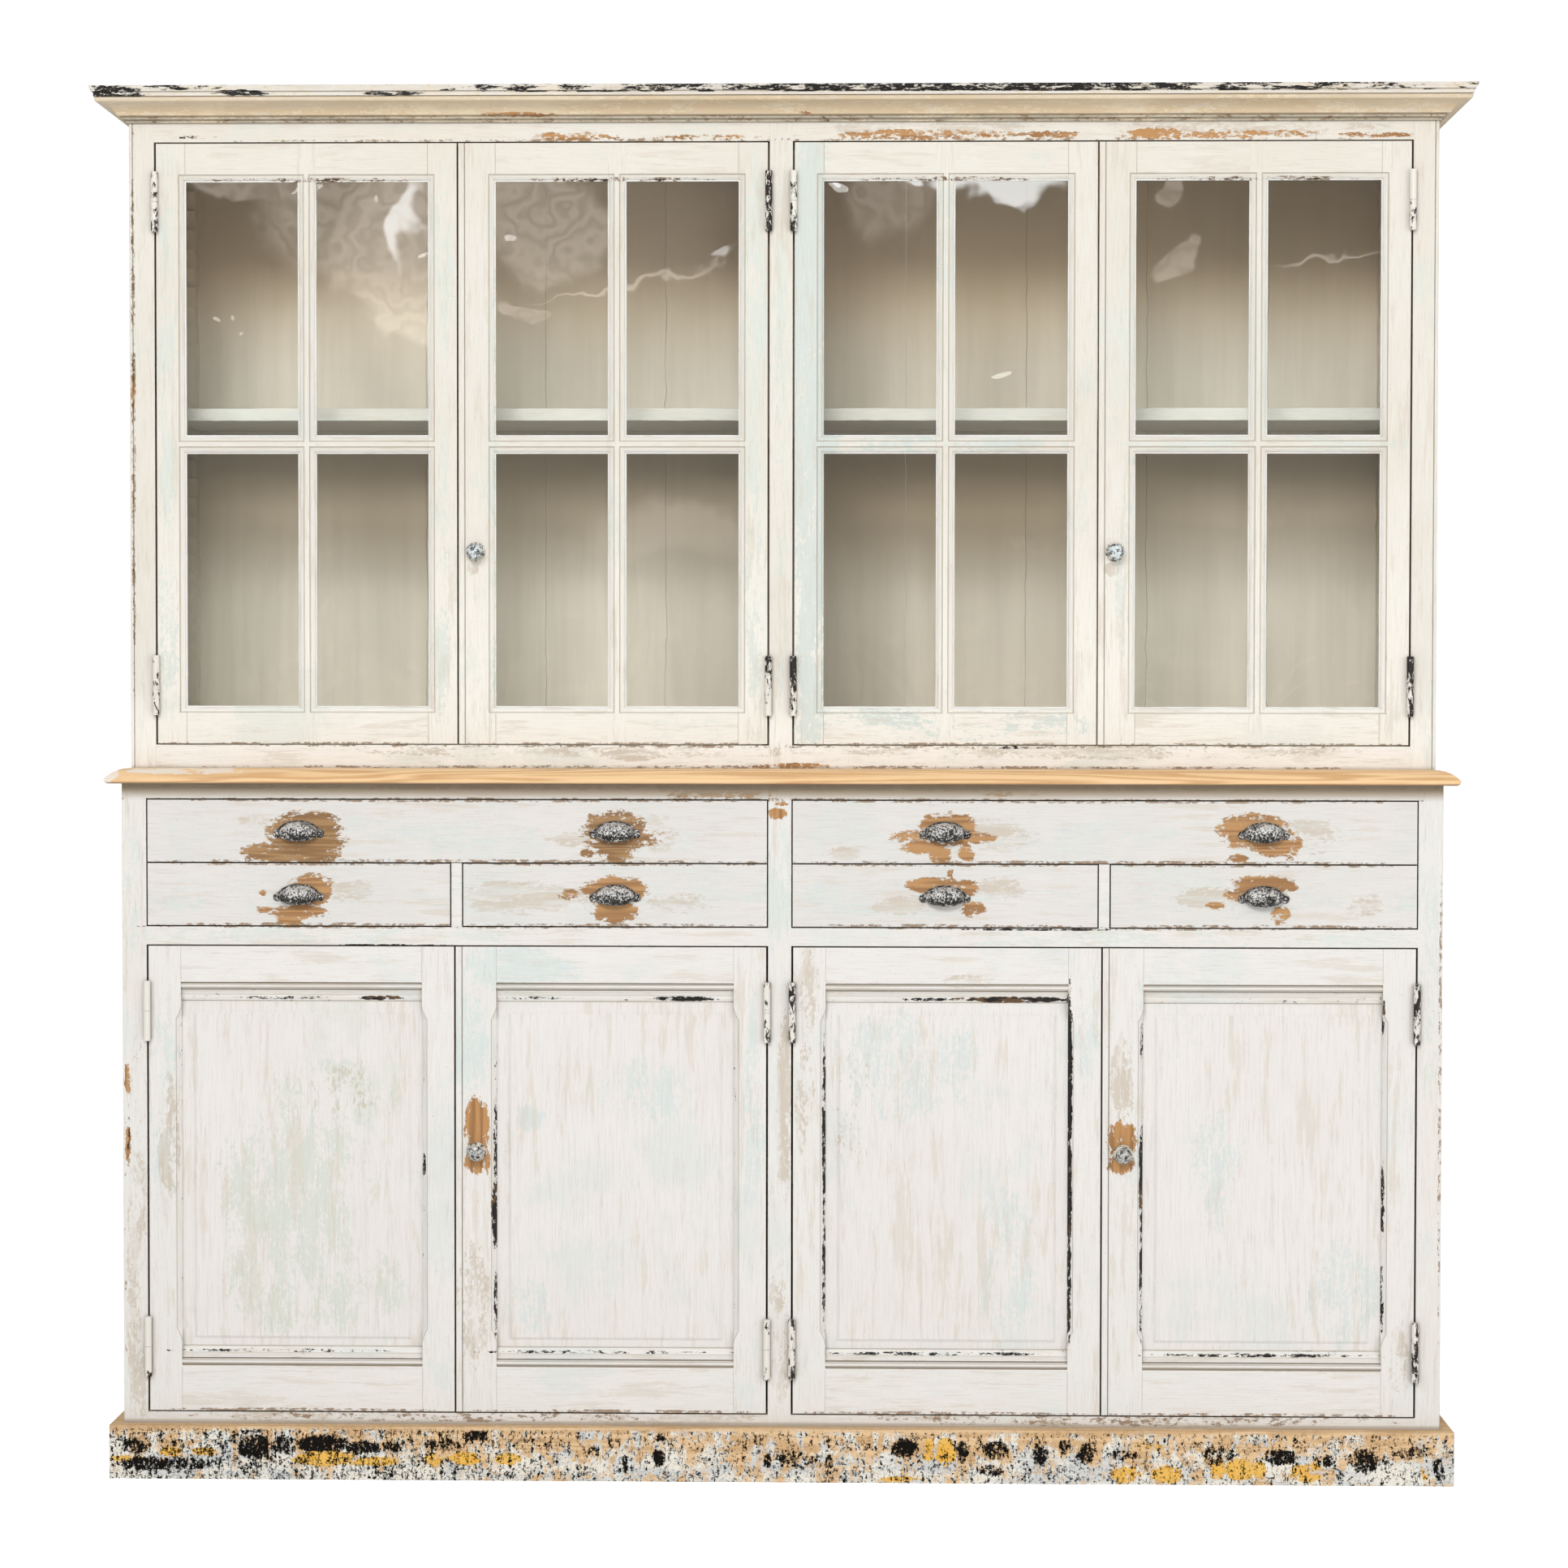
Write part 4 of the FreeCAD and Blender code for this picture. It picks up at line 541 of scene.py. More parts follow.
# Inside of the upper case: partition, floor, roof, shelves on their saw-tooth racks, and a back
# of upright planks, in a thin dull greige paint that shows the joints of the planks.
material, tree, surface, place = new_material("greige_inside")
streaky = along(tree, "MULTIPLY", place, (1.0, 1.0, 0.05))
tone = cloudy(tree, streaky, 60.0, 4.0, 0.6)
slow = cloudy(tree, along(tree, "MULTIPLY", place, (1.0, 1.0, 0.25)), 6.0, 3.0, 0.5)
parts = split(tree, place)
height = parts["Z"]
# Painted shade: the inside darkens below the shelf and across the third bay, and grows darker and
# browner towards the top under the head. These follow height and x only, so they lie on the outside
# of the back too.
shelf_shadow = times(tree, ease(tree, height, 1.38, 1.60, 0.0, 0.74),
                    ease(tree, height, 1.670, 1.675, 1.0, 0.0))
third_bay_shade = times(tree, ease(tree, parts["X"], -0.05, 0.10, 0.0, 0.16),
                  ease(tree, parts["X"], 0.45, 0.60, 1.0, 0.0))
finish = layered(
    tree, (0.635, 0.58, 0.49, 1),
    (ease(tree, slow, 0.3, 0.7), (0.51, 0.46, 0.38, 1)),
    (ease(tree, tone, 0.3, 0.8, 0.0, 0.25), (0.36, 0.31, 0.24, 1)),
    (calc(tree, "ADD", shelf_shadow, third_bay_shade), (0.28, 0.20, 0.115, 1)),
    (ease(tree, height, 1.77, 2.03, 0.0, 0.74), (0.44, 0.295, 0.15, 1)),
)
feed(tree, surface, {"Base Color": finish, "Roughness": 0.7})
raised(tree, surface, tone, 0.3, 0.0006, 0.001)
dress(material, "upper_partition", "upper_floor", "upper_roof", "upper_back", "shelf_racks",
      "shelf_bearers")
dress(painted("shelf_paint", (0.63, 0.615, 0.575, 1), (0.58, 0.56, 0.515, 1), uprights=[],
              seed=3.0, worn_edges=0.2), "upper_shelves")

# Ends and face frame of the upper case: softwood with a warm cream coat. A line is scratched
# down each outer corner, where the paint has broken, and the head rail is rubbed to the wood.
CREAM, CREAM_SHADE = (0.685, 0.655, 0.592, 1), (0.668, 0.627, 0.557, 1)
PALE_GREEN = (0.60, 0.64, 0.585, 1)
upper_low, upper_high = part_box("upper_face_frame")
UPPER_STILE = 0.0405
upper_stiles = [(upper_low.x, UPPER_STILE), (0.0, CENTRE_STILE_HALF), (upper_high.x, UPPER_STILE)]
HEAD_RAIL, SILL_RAIL, SCRATCH_INSET = 0.0825, 0.037, 0.0057
head_edge = upper_high.z - HEAD_RAIL
sill_top = upper_low.z + SILL_RAIL
corner_line = upper_low.x + SCRATCH_INSET
dress(painted(
    "upper_frame_paint", CREAM, CREAM_SHADE, uprights=upper_stiles, seed=4.0,
    bare=[*((x, head_edge + above, *reach) for x, above, *reach in (
        (-0.33, 0.008, 0.070, 0.008, 0.66), (-0.12, 0.006, 0.10, 0.005, 0.54),
        (0.23, 0.009, 0.145, 0.009, 0.66), (0.43, 0.010, 0.05, 0.006, 0.60),
        (0.62, 0.010, 0.08, 0.010, 0.68), (0.76, 0.009, 0.11, 0.007, 0.60),
        (0.95, 0.008, 0.06, 0.005, 0.58))),
          (corner_line, 1.745, 0.004, 0.03, 0.70), (0.03, upper_low.z + 0.004, 0.05, 0.005, 0.74),
          (-0.02, upper_low.z + 0.003, 0.03, 0.004, 0.6)],
    flaked=[(-0.3, sill_top - 0.010, 0.5, 0.010, 0.42), (0.5, sill_top - 0.010, 0.5, 0.012, 0.42),
            (-0.24, sill_top - 0.014, 0.04, 0.012, 0.62),
            (0.40, sill_top - 0.006, 0.06, 0.006, 0.6),
            (0.72, head_edge + 0.02, 0.25, 0.014, 0.5), (0.25, head_edge + 0.02, 0.2, 0.012, 0.5)],
    chipped=[(corner_line, 1.85, 0.003, 0.33, 0.24), (corner_line, 1.5, 0.003, 0.30, 0.20),
             (upper_high.x - SCRATCH_INSET, 1.6, 0.003, 0.5, 0.15),
             (0.40, sill_top - 0.002, 0.12, 0.003, 0.46),
             (-0.94, head_edge + 0.008, 0.05, 0.003, 0.28)],
    nicked=[(0.0, head_edge + 0.002, 1.0, 0.003, 0.38), (corner_line, 1.7, 0.004, 0.5, 0.38),
            (0.0, upper_low.z + 0.002, 1.0, 0.003, 0.46),
            (0.0, sill_top - 0.001, 1.0, 0.003, 0.42)],
    tinted=[(0.0, 1.75, 0.012, 0.5, 0.46), (0.0, 2.1, 0.03, 0.1, 0.42)],
    # lighter is painted light: a paler coat on the sill rail and the feet of the stiles, fading out
    # up to 1.30 m.
    tint=PALE_GREEN, lighter=(1.17, 1.30, (0.80, 0.77, 0.715, 1)), worn_edges=0.26,
), "upper_face_frame")
dress(painted("upper_end_paint", CREAM, CREAM_SHADE, seed=5.0, worn_edges=0.24,
              chipped=[(0.0, 1.6, 3.0, 0.6, 0.18)]), "upper_sides")

# Cornice: a moulding run in one length of softwood with mitred returns, planted round the head.
# Its flat top bands are chipped to black paint; the cove is tan, painted deeper than the bands,
# partly as the shade on its downward face.
crown_low, crown_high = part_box("cornice")
material, tree, surface, place = new_material("cornice_paint")
parts = split(tree, place)
moved = along(tree, "ADD", place, (7.7, 1.3, 2.0))
up = calc(tree, "SUBTRACT", parts["Z"], crown_low.z)
band = ease(tree, up, 0.0335, 0.0370)
upper_band = ease(tree, up, 0.0395, 0.0415)
cove = ease(tree, up, 0.015, 0.030, 1.0, 0.0)
lists = ease(tree, up, 0.0085, 0.0105, 1.0, 0.0)
# The cove's deeper tan is partly painted shade.
colour = layered(tree, (0.645, 0.54, 0.405, 1), (cove, (0.58, 0.45, 0.29, 1)),
                 (lists, (0.40, 0.355, 0.275, 1)), (band, (0.70, 0.665, 0.605, 1)))
shaded = layered(tree, (0.58, 0.455, 0.30, 1), (lists, (0.44, 0.395, 0.31, 1)),
                 (band, (0.66, 0.61, 0.54, 1)))
worn_run = marks(tree, place, [
    (-1.07, crown_low.z + 0.040, 0.055, 0.012, 0.72),
    (-0.955, crown_high.z - 0.003, 0.06, 0.005, 0.66),
    (-0.855, crown_high.z - 0.012, 0.045, 0.005, 0.8),
    (-0.62, crown_high.z - 0.013, 0.05, 0.004, 0.66)])
across = ease(tree, parts["X"], -0.66, -0.38, 0.0, 0.50)
aside = calc(tree, "ABSOLUTE", calc(tree, "SUBTRACT", parts["X"], 0.28))
solid = ease(tree, aside, 0.15, 0.45, 0.30, 0.0)
run_end = ease(tree, parts["X"], 0.86, 0.98, 0.0, -0.22)
black_run = times(tree, calc(tree, "ADD", across, calc(tree, "ADD", solid, run_end)), upper_band)
black_band = times(tree, calc(tree, "MAXIMUM", black_run, worn_run), band)
edge = times(tree, worn_arris(tree, 0.002), 0.24)
rubbed = marks(tree, place, [(-0.42, crown_low.z + 0.010, 0.07, 0.004, 0.60),
                             (0.04, crown_low.z + 0.012, 0.012, 0.003, 0.7)])
old = use(tree, paint, {
    "Position": moved, "Upright": 0.0, "Coat": colour, "Shade": shaded,
    "Tint": (0.70, 0.60, 0.44, 1), "Tinted": 0.3, "Bare": rubbed, "Flaked": 0.2,
    "Wood": timber(tree, moved, 0.0, PATCH_PALE, PATCH_DARK)["Color"],
    "Chipped": calc(tree, "MAXIMUM", times(tree, lists, 0.18), edge),
    "Nicked": times(tree, lists, 0.28),
})
streaky = cloudy(tree, grained(tree, moved, 0.0, 0.22), 110.0, 8.0, 0.76, 0.2)
flecks = ease(tree, cloudy(tree, grained(tree, moved, 0.0, 0.4), 230.0, 5.0, 0.7), 0.57, 0.62)
black = times(tree, ease(tree, torn(tree, black_band, streaky, 4.6), 0.48, 0.53),
              calc(tree, "SUBTRACT", 1.0, times(tree, flecks, 0.9)))
# Corners and hollows of the moulding are darkened: soiling and painted shade.
corner = ease(tree, openness(tree, 0.008), 0.35, 0.93, 0.6, 0.0)
finish = layered(tree, old["Color"], (corner, (0.26, 0.20, 0.13, 1)),
                 (black, (0.014, 0.012, 0.010, 1)))
feed(tree, surface, {"Base Color": finish, "Roughness": old["Roughness"],
                     "Specular IOR Level": 0.2})
raised(tree, surface, calc(tree, "SUBTRACT", old["Height"], times(tree, black, 0.4)), 0.5, 0.0009,
       0.001)
dress(material, "cornice")

# Glazed doors: pegged softwood frames with an upright and a cross bar, moulded round each pane.
# Cream coat, with pale blue-green on some stiles; the mouldings are a paler grey-green, which also
# lifts their tilted faces as painted light.
GLAZED_STILE, GLAZED_LOCK, GLAZING_BAR, GLAZED_RAIL = 0.047, 0.0595, 0.030, 0.0585
PLATE_RADIUS = 0.0155
knob_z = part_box("glazed_door_2_latch")[1].z - PLATE_RADIUS
for number, tinted in (
    (1, [(-0.99, 1.75, 0.018, 0.32, 0.62), (-0.99, 1.35, 0.02, 0.15, 0.5),
         (-0.545, 1.95, 0.02, 0.2, 0.5), (-0.545, 1.45, 0.02, 0.3, 0.42)]),
    (2, [(-0.045, 1.9, 0.02, 0.22, 0.66), (-0.045, 1.45, 0.016, 0.3, 0.5),
         (-0.465, 1.6, 0.012, 0.5, 0.42)]),
    (3, [(0.052, 1.75, 0.044, 0.46, 0.9), (0.052, 1.3, 0.03, 0.2, 0.7),
         (0.25, 1.21, 0.3, 0.03, 0.42), (0.25, 1.66, 0.25, 0.012, 0.5)]),
    (4, [(0.55, 1.6, 0.016, 0.4, 0.36), (0.8, 1.66, 0.3, 0.012, 0.45)]),
):
    name = f"glazed_door_{number}_frame"
    low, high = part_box(name)
    left = GLAZED_LOCK if number in (2, 4) else GLAZED_STILE
    bar = (low.x + left + high.x - GLAZED_STILE) / 2
    dress(painted(
        f"glazed_door_{number}_paint", CREAM, (0.66, 0.62, 0.55, 1),
        tint=(0.545, 0.61, 0.575, 1) if number == 3 else PALE_GREEN,
        uprights=[(low.x, left), (high.x, GLAZED_STILE), (bar, GLAZING_BAR / 2)],
        seed=10.0 + number, tinted=tinted, face=low.y, recess=0.12, ends=(low, high),
        flaked=[(low.x + 0.020, knob_z - 0.028, 0.012, 0.010, 0.8)] if left == GLAZED_LOCK else (),
        chipped=[(bar, high.z - GLAZED_RAIL, 0.17, 0.003, 0.28)],
        nicked=[(bar, high.z - GLAZED_RAIL, 0.17, 0.004, 0.42),
                (bar, low.z + 0.001, 0.24, 0.002, 0.5)],
        lines=[(x, z, 0.0006, 0.05, 0.45) for x in (low.x + left, high.x - GLAZED_STILE)
               for z in (high.z, low.z)],
        # lighter is painted light on the lower part of each door, and the paler recess_coat lifts
        # the mouldings as painted light too.
        lighter=(1.24, 1.75, (0.76, 0.73, 0.665, 1)), worn_edges=0.24, edge_reach=0.002,
        recess_coat=(0.80, 0.80, 0.775, 1), corner_grime_and_shade=0.16, mark_depth=low.y + 0.012,
    ), name)

# Window panes: old drawn sheet glass, wavy, laid in the rebates behind the mouldings. Pale
# clouds, smears and glints across the upper panes are painted reflections, made as a glow of
# the glass.
material, tree, surface, place = new_material("old_sheet_glass")
shadow = put(tree, "ShaderNodeLightPath").outputs["Is Shadow Ray"]
feed(tree, surface, {
    "Base Color": (0.93, 0.95, 0.92, 1), "Transmission Weight": 1.0, "Roughness": 0.0,
    "IOR": 1.45, "Alpha": calc(tree, "SUBTRACT", 1.0, shadow),
})
wave = cloudy(tree, along(tree, "MULTIPLY", place, (1.0, 1.0, 0.7)), 6.0, 2.0, 0.45, 1.2)
raised(tree, surface, wave, 0.6, 0.012)
slow = cloudy(tree, place, 5.5, 1.0, 0.4)
quick = cloudy(tree, along(tree, "ADD", place, (4.0, 0.0, 1.0)), 17.0, 2.0, 0.5)
sway_x = calc(tree, "MULTIPLY_ADD", slow, 0.20, calc(tree, "MULTIPLY_ADD", quick, 0.05, -0.125))
sway_z = calc(tree, "MULTIPLY_ADD", quick, 0.07, calc(tree, "MULTIPLY_ADD", slow, -0.10, 0.015))
sway = put(tree, "ShaderNodeCombineXYZ", {0: sway_x, 2: sway_z})
swayed = along(tree, "ADD", place, sway.outputs[0])
# Painted reflections: warm clouds and smears and cool glints, given to the glass as a glow.
reflection_veils = ease(tree, marks(tree, swayed, [
    (-0.66, 2.10, 0.17, 0.17, 1.0), (-0.60, 1.93, 0.09, 0.09, 0.95), (-0.40, 2.04, 0.11, 0.10, 1.0),
    (-0.83, 2.11, 0.11, 0.055, 1.1), (-0.42, 1.872, 0.035, 0.014, 1.0),
    (0.17, 2.05, 0.12, 0.065, 0.46), (0.645, 1.948, 0.042, 0.042, 0.9),
    (0.586, 2.08, 0.030, 0.022, 1.0)]), 0.20, 0.62)
folds = calc(tree, "SINE", times(tree, calc(tree, "ADD", slow, quick), 34.0))
reflection_veils = times(tree, reflection_veils, calc(tree, "MULTIPLY_ADD", folds, 0.22, 0.74))
soft = marks(tree, swayed, [
    (-0.60, 1.95, 0.13, 0.15, 0.9), (-0.30, 2.02, 0.20, 0.12, 0.4), (0.24, 2.02, 0.20, 0.14, 0.12),
    (-0.20, 1.52, 0.13, 0.05, 0.8), (-0.30, 1.36, 0.2, 0.16, 0.4), (0.76, 1.38, 0.2, 0.18, 0.4)])
glare = ease(tree, marks(tree, swayed, [
    (-0.582, 2.00, 0.013, 0.075, 0.8), (0.355, 2.072, 0.085, 0.022, 1.3),
    (0.228, 2.070, 0.020, 0.010, 1.0), (-0.095, 1.968, 0.024, 0.008, 0.6)]), 0.15, 1.05)
parts = split(tree, swayed)
reflected_streak = 0.0
for x, z, rise, half_width in ((-0.24, 1.933, 0.20, 0.20), (0.88, 1.975, 0.24, 0.10)):
    climb = calc(tree, "MULTIPLY_ADD", parts["X"], -rise, rise * x - z)
    off_line = calc(tree, "ABSOLUTE", calc(tree, "ADD", parts["Z"], climb))
    thread = ease(tree, off_line, 0.0, 0.004, 1.0, 0.0)
    within = marks(tree, place, [(x, z, half_width * 0.7, 0.3, 1.0)])
    reflected_streak = calc(tree, "MULTIPLY_ADD", thread, within, reflected_streak)
faint_reflection = calc(tree, "MULTIPLY_ADD", soft, 0.06, times(tree, reflected_streak, 0.11))
glow = calc(tree, "MULTIPLY_ADD", reflection_veils, 0.088, faint_reflection)
feed(tree, surface, {
    "Emission Color": layered(tree, (0.0, 0.0, 0.0, 1), (glow, (1.0, 0.90, 0.79, 1)),
                              (times(tree, glare, 0.30), (0.95, 0.98, 1.0, 1))),
    "Emission Strength": 1.0,
})
dress(material, *(f"glazed_door_{number}_glass" for number in range(1, 5)))

# Panelled doors: softwood frames round a fielded panel. The stiles have stopped chamfers, the
# rails a bead, a hollow and a roll, and the coats have broken to black along these edges.
PANEL_STILE, PANEL_LOCK = 0.052, 0.065
UPPER_OPENING, LOWER_OPENING = 0.7657, 0.2105
# Dark lines along the rail mouldings, as (distance from the opening, half height, strength): the
# grooves of the quirks darkened as soiling and painted shade, and the wide weak one on the hollow
# as painted shade of the relief.
RAIL_RELIEF_SHADE_LINES = ((0.0303, 0.0009, 0.72), (0.0195, 0.0012, 0.42), (0.0142, 0.0028, 0.16),
               (0.0108, 0.0007, 0.34), (0.0006, 0.0010, 0.50))
for number, tinted, flaked, chipped, bare in (
    (1, [(-0.99, 0.6, 0.03, 0.2, 0.46)], [(-0.98, 0.55, 0.02, 0.1, 0.5)],
     [(-0.638, 0.7715, 0.035, 0.004, 0.84), (-0.80, 0.7715, 0.1, 0.003, 0.34),
      (-0.571, 0.507, 0.004, 0.02, 0.7), (-0.8, 0.203, 0.2, 0.003, 0.40)], []),
    (2, [(-0.42, 0.82, 0.10, 0.045, 0.78), (-0.497, 0.70, 0.03, 0.10, 0.70),
         (-0.04, 0.60, 0.02, 0.2, 0.46)], [(-0.49, 0.28, 0.03, 0.1, 0.46)],
     [(-0.40, 0.7715, 0.055, 0.003, 0.40), (-0.155, 0.7715, 0.050, 0.004, 0.84),
      (-0.4555, 0.52, 0.0035, 0.12, 0.66), (-0.4555, 0.43, 0.006, 0.055, 0.95),
      (-0.4555, 0.285, 0.003, 0.055, 0.72), (-0.3, 0.203, 0.2, 0.003, 0.42)],
     [(-0.484, 0.563, 0.0185, 0.048, 1.1), (-0.489, 0.508, 0.015, 0.020, 1.0),
      (-0.468, 0.512, 0.005, 0.022, 0.76)]),
    (3, [(0.49, 0.72, 0.02, 0.12, 0.56)],
     [(0.043, 0.79, 0.020, 0.07, 0.72), (0.04, 0.62, 0.016, 0.1, 0.56),
      (0.30, 0.80, 0.05, 0.012, 0.5)],
     [(0.37, 0.7715, 0.085, 0.005, 0.92), (0.24, 0.7715, 0.05, 0.003, 0.70),
      (0.4625, 0.66, 0.0052, 0.13, 1.0), (0.4625, 0.48, 0.0050, 0.12, 0.92),
      (0.4625, 0.32, 0.0040, 0.10, 0.76), (0.0710, 0.56, 0.0032, 0.14, 0.68),
      (0.0710, 0.34, 0.003, 0.10, 0.56), (0.25, 0.203, 0.2, 0.003, 0.56)], []),
    (4, [(0.575, 0.60, 0.006, 0.2, 0.5)],
     [(0.547, 0.64, 0.019, 0.070, 0.78), (0.99, 0.20, 0.02, 0.06, 0.55)],
     [(0.578, 0.703, 0.003, 0.03, 0.70), (0.578, 0.49, 0.004, 0.10, 0.88),
      (0.578, 0.32, 0.003, 0.09, 0.66), (0.962, 0.742, 0.003, 0.03, 0.76),
      (0.962, 0.455, 0.003, 0.06, 0.70), (0.962, 0.3, 0.003, 0.06, 0.56),
      (0.77, 0.203, 0.2, 0.003, 0.52)],
     [(0.546, 0.549, 0.024, 0.028, 1.1), (0.544, 0.510, 0.022, 0.016, 0.95)]),
):
    name = f"panel_door_{number}_frame"
    low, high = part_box(name)
    left = PANEL_LOCK if number in (2, 4) else PANEL_STILE
    inner = (low.x + left, high.x - PANEL_STILE)
    middle, half_width = sum(inner) / 2, (inner[1] - inner[0]) / 2 - 0.001
    dress(painted(
        f"panel_door_{number}_paint", (0.70, 0.68, 0.65, 1), (0.712, 0.684, 0.655, 1),
        tint=(0.585, 0.645, 0.625, 1), uprights=[(low.x, left), (high.x, PANEL_STILE)],
        seed=20.0 + number, tinted=tinted, flaked=flaked, chipped=chipped, bare=bare,
        face=low.y, recess=0.20, ends=(low, high), recess_coat=(0.72, 0.70, 0.66, 1),
        mark_depth=low.y + 0.012,
        nicked=[((low.x + high.x) / 2, low.z + 0.002, 0.24, 0.003, 0.50)], worn_edges=0.28,
        lines=[(x, z, 0.0006, half, 0.35) for x in inner
               for z, half in ((high.z, 0.055), (low.z, 0.07))]
        + [(middle, z + way * away, half_width, half, strength)
           for z, way in ((UPPER_OPENING, 1), (LOWER_OPENING, -1))
           for away, half, strength in RAIL_RELIEF_SHADE_LINES],
    ), name)

for number, tinted, flaked in (
    (1, [(-0.78, 0.48, 0.13, 0.12, 0.62), (-0.72, 0.62, 0.12, 0.06, 0.46),
         (-0.76, 0.31, 0.15, 0.09, 0.50)], [(-0.70, 0.62, 0.08, 0.05, 0.30)]),
    (2, [(-0.40, 0.578, 0.03, 0.02, 0.72), (-0.23, 0.62, 0.08, 0.06, 0.60),
         (-0.40, 0.28, 0.04, 0.05, 0.6)], []),
    (3, [(0.2, 0.66, 0.12, 0.09, 0.55), (0.36, 0.35, 0.06, 0.12, 0.52)],
     [(0.12, 0.60, 0.04, 0.12, 0.30)]),
    (4, [(0.70, 0.5, 0.05, 0.1, 0.5), (0.9, 0.3, 0.06, 0.1, 0.45)], []),
):
    name = f"panel_door_{number}_panel"
    low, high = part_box(name)
    dress(painted(
        f"panel_door_{number}_panel_paint", (0.695, 0.665, 0.638, 1), (0.71, 0.682, 0.655, 1),
        tint=(0.575, 0.61, 0.545, 1) if number == 1 else (0.585, 0.635, 0.615, 1),
        seed=30.0 + number, tinted=tinted, flaked=flaked, worn_edges=0.14, edge_reach=0.002,
        corner_grime_and_shade=0.45, mark_depth=low.y + 0.008,
    ), name)

# Barrel hinges: iron knuckles with a pin in the lower one. They were painted over with the case,
# and the paint has chipped off them, here and there all of it.
material, tree, surface, place = new_material("painted_over_iron")
chips = cloudy(tree, along(tree, "MULTIPLY", place, (1.0, 1.0, 0.5)), 150.0, 7.0, 0.72, 0.4)
half_lost = cloudy(tree, place, 11.0, 2.0, 0.5)
spared = marks(tree, place, [(-1.013, 0.75, 0.03, 0.08, 0.3), (-1.013, 0.26, 0.03, 0.08, 0.15)])
iron = ease(tree, calc(tree, "SUBTRACT", calc(tree, "MULTIPLY_ADD", half_lost, 0.7, chips), spared),
            0.865, 0.90)
# Crevices between knuckles and leaves are darkened: soiling and painted shade.
corner = ease(tree, openness(tree, 0.006), 0.3, 0.9, 0.7, 0.0)
finish = layered(tree, (0.70, 0.67, 0.61, 1), (iron, (0.025, 0.02, 0.018, 1)),
                 (corner, (0.10, 0.075, 0.05, 1)))
feed(tree, surface, {"Base Color": finish, "Metallic": times(tree, iron, 0.6), "Roughness": 0.5})
raised(tree, surface, calc(tree, "SUBTRACT", chips, iron), 0.5, 0.0008, 0.001)
dress(material, "case_hinge_barrels", *(f"{kind}_door_{number}_hinges"
                                        for kind in ("glazed", "panel") for number in range(1, 5)))

# Latch knobs: a turned iron knob on a beaded round plate, with its spindle through the stile and
# a tongue behind. White paint is left on the plate, and the head is worn to grey metal and black.
KNOB_REACH, DOOR_THICK, TONGUE_ABOVE_SPINDLE = 0.026, 0.0224, 0.007
KNOB_PROFILE = (
    (0.0, -22.4), (4.0, -22.4), (4.0, 0.3), (15.4, 0.3), (15.5, 1.1), (15.1, 1.9), (14.2, 2.3),
    (13.4, 1.9), (12.9, 1.5), (12.2, 1.9), (10.0, 2.6), (7.6, 3.1), (6.4, 3.9), (5.8, 5.4),
    (5.5, 8.0), (5.8, 10.8), (6.9, 13.0), (9.3, 14.9), (11.5, 16.4), (12.6, 18.0), (12.8, 19.6),
    (12.2, 21.3), (10.6, 23.1), (8.3, 24.5), (5.4, 25.5), (2.6, 25.9), (0.0, 26.0),
)


def shown(name, mesh, material, body, slot, *nodes):
    """Makes a piece of a finished mesh, which rides on a body in place of its CAD nodes."""
    for face in mesh.faces:
        face.smooth = True
    data = bpy.data.meshes.new(name)
    mesh.to_mesh(data)
    mesh.free()
    data.materials.append(material)
    data.set_sharp_from_angle(angle=math.radians(38))
    piece = bpy.data.objects.new(name, data)
    bpy.context.scene.collection.objects.link(piece)
    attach(piece, body)
    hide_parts(*nodes)


def knob_finish(name, face_y, plate_coat, head_pale, head_mid, metal):
    material, tree, surface, place = new_material(name)
    out = calc(tree, "SUBTRACT", face_y, split(tree, place)["Y"])
    blot = cloudy(tree, place, 190.0, 6.0, 0.72, 0.5)
    fine = cloudy(tree, place, 560.0, 4.0, 0.66)
    dark = (0.032, 0.028, 0.025, 1)
    head = mixed(tree, ease(tree, calc(tree, "MULTIPLY_ADD", fine, 0.35, blot), 0.675, 0.70),
                 head_pale, dark)
    head = mixed(tree, ease(tree, fine, 0.55, 0.62, 0.0, 0.75), head, head_mid)
    plate = mixed(tree, ease(tree, calc(tree, "MULTIPLY_ADD", fine, 0.3, blot), 0.665, 0.69),
                  plate_coat, dark)
    on_plate = ease(tree, out, 0.0030, 0.0036, 1.0, 0.0)
    # Crevices round the head and plate are darkened to near black: soiling and painted shade.
    corner = ease(tree, openness(tree, 0.005), 0.35, 0.9, 0.85, 0.0)
    feed(tree, surface, {"Base Color": layered(tree, head, (on_plate, plate), (corner, dark)),
                         "Metallic": ease(tree, on_plate, 0.0, 1.0, metal, 0.0),
                         "Roughness": ease(tree, blot, 0.3, 0.7, 0.34, 0.6)})
    raised(tree, surface, calc(tree, "MULTIPLY_ADD", fine, 0.4, blot), 0.5, 0.0010)
    return material


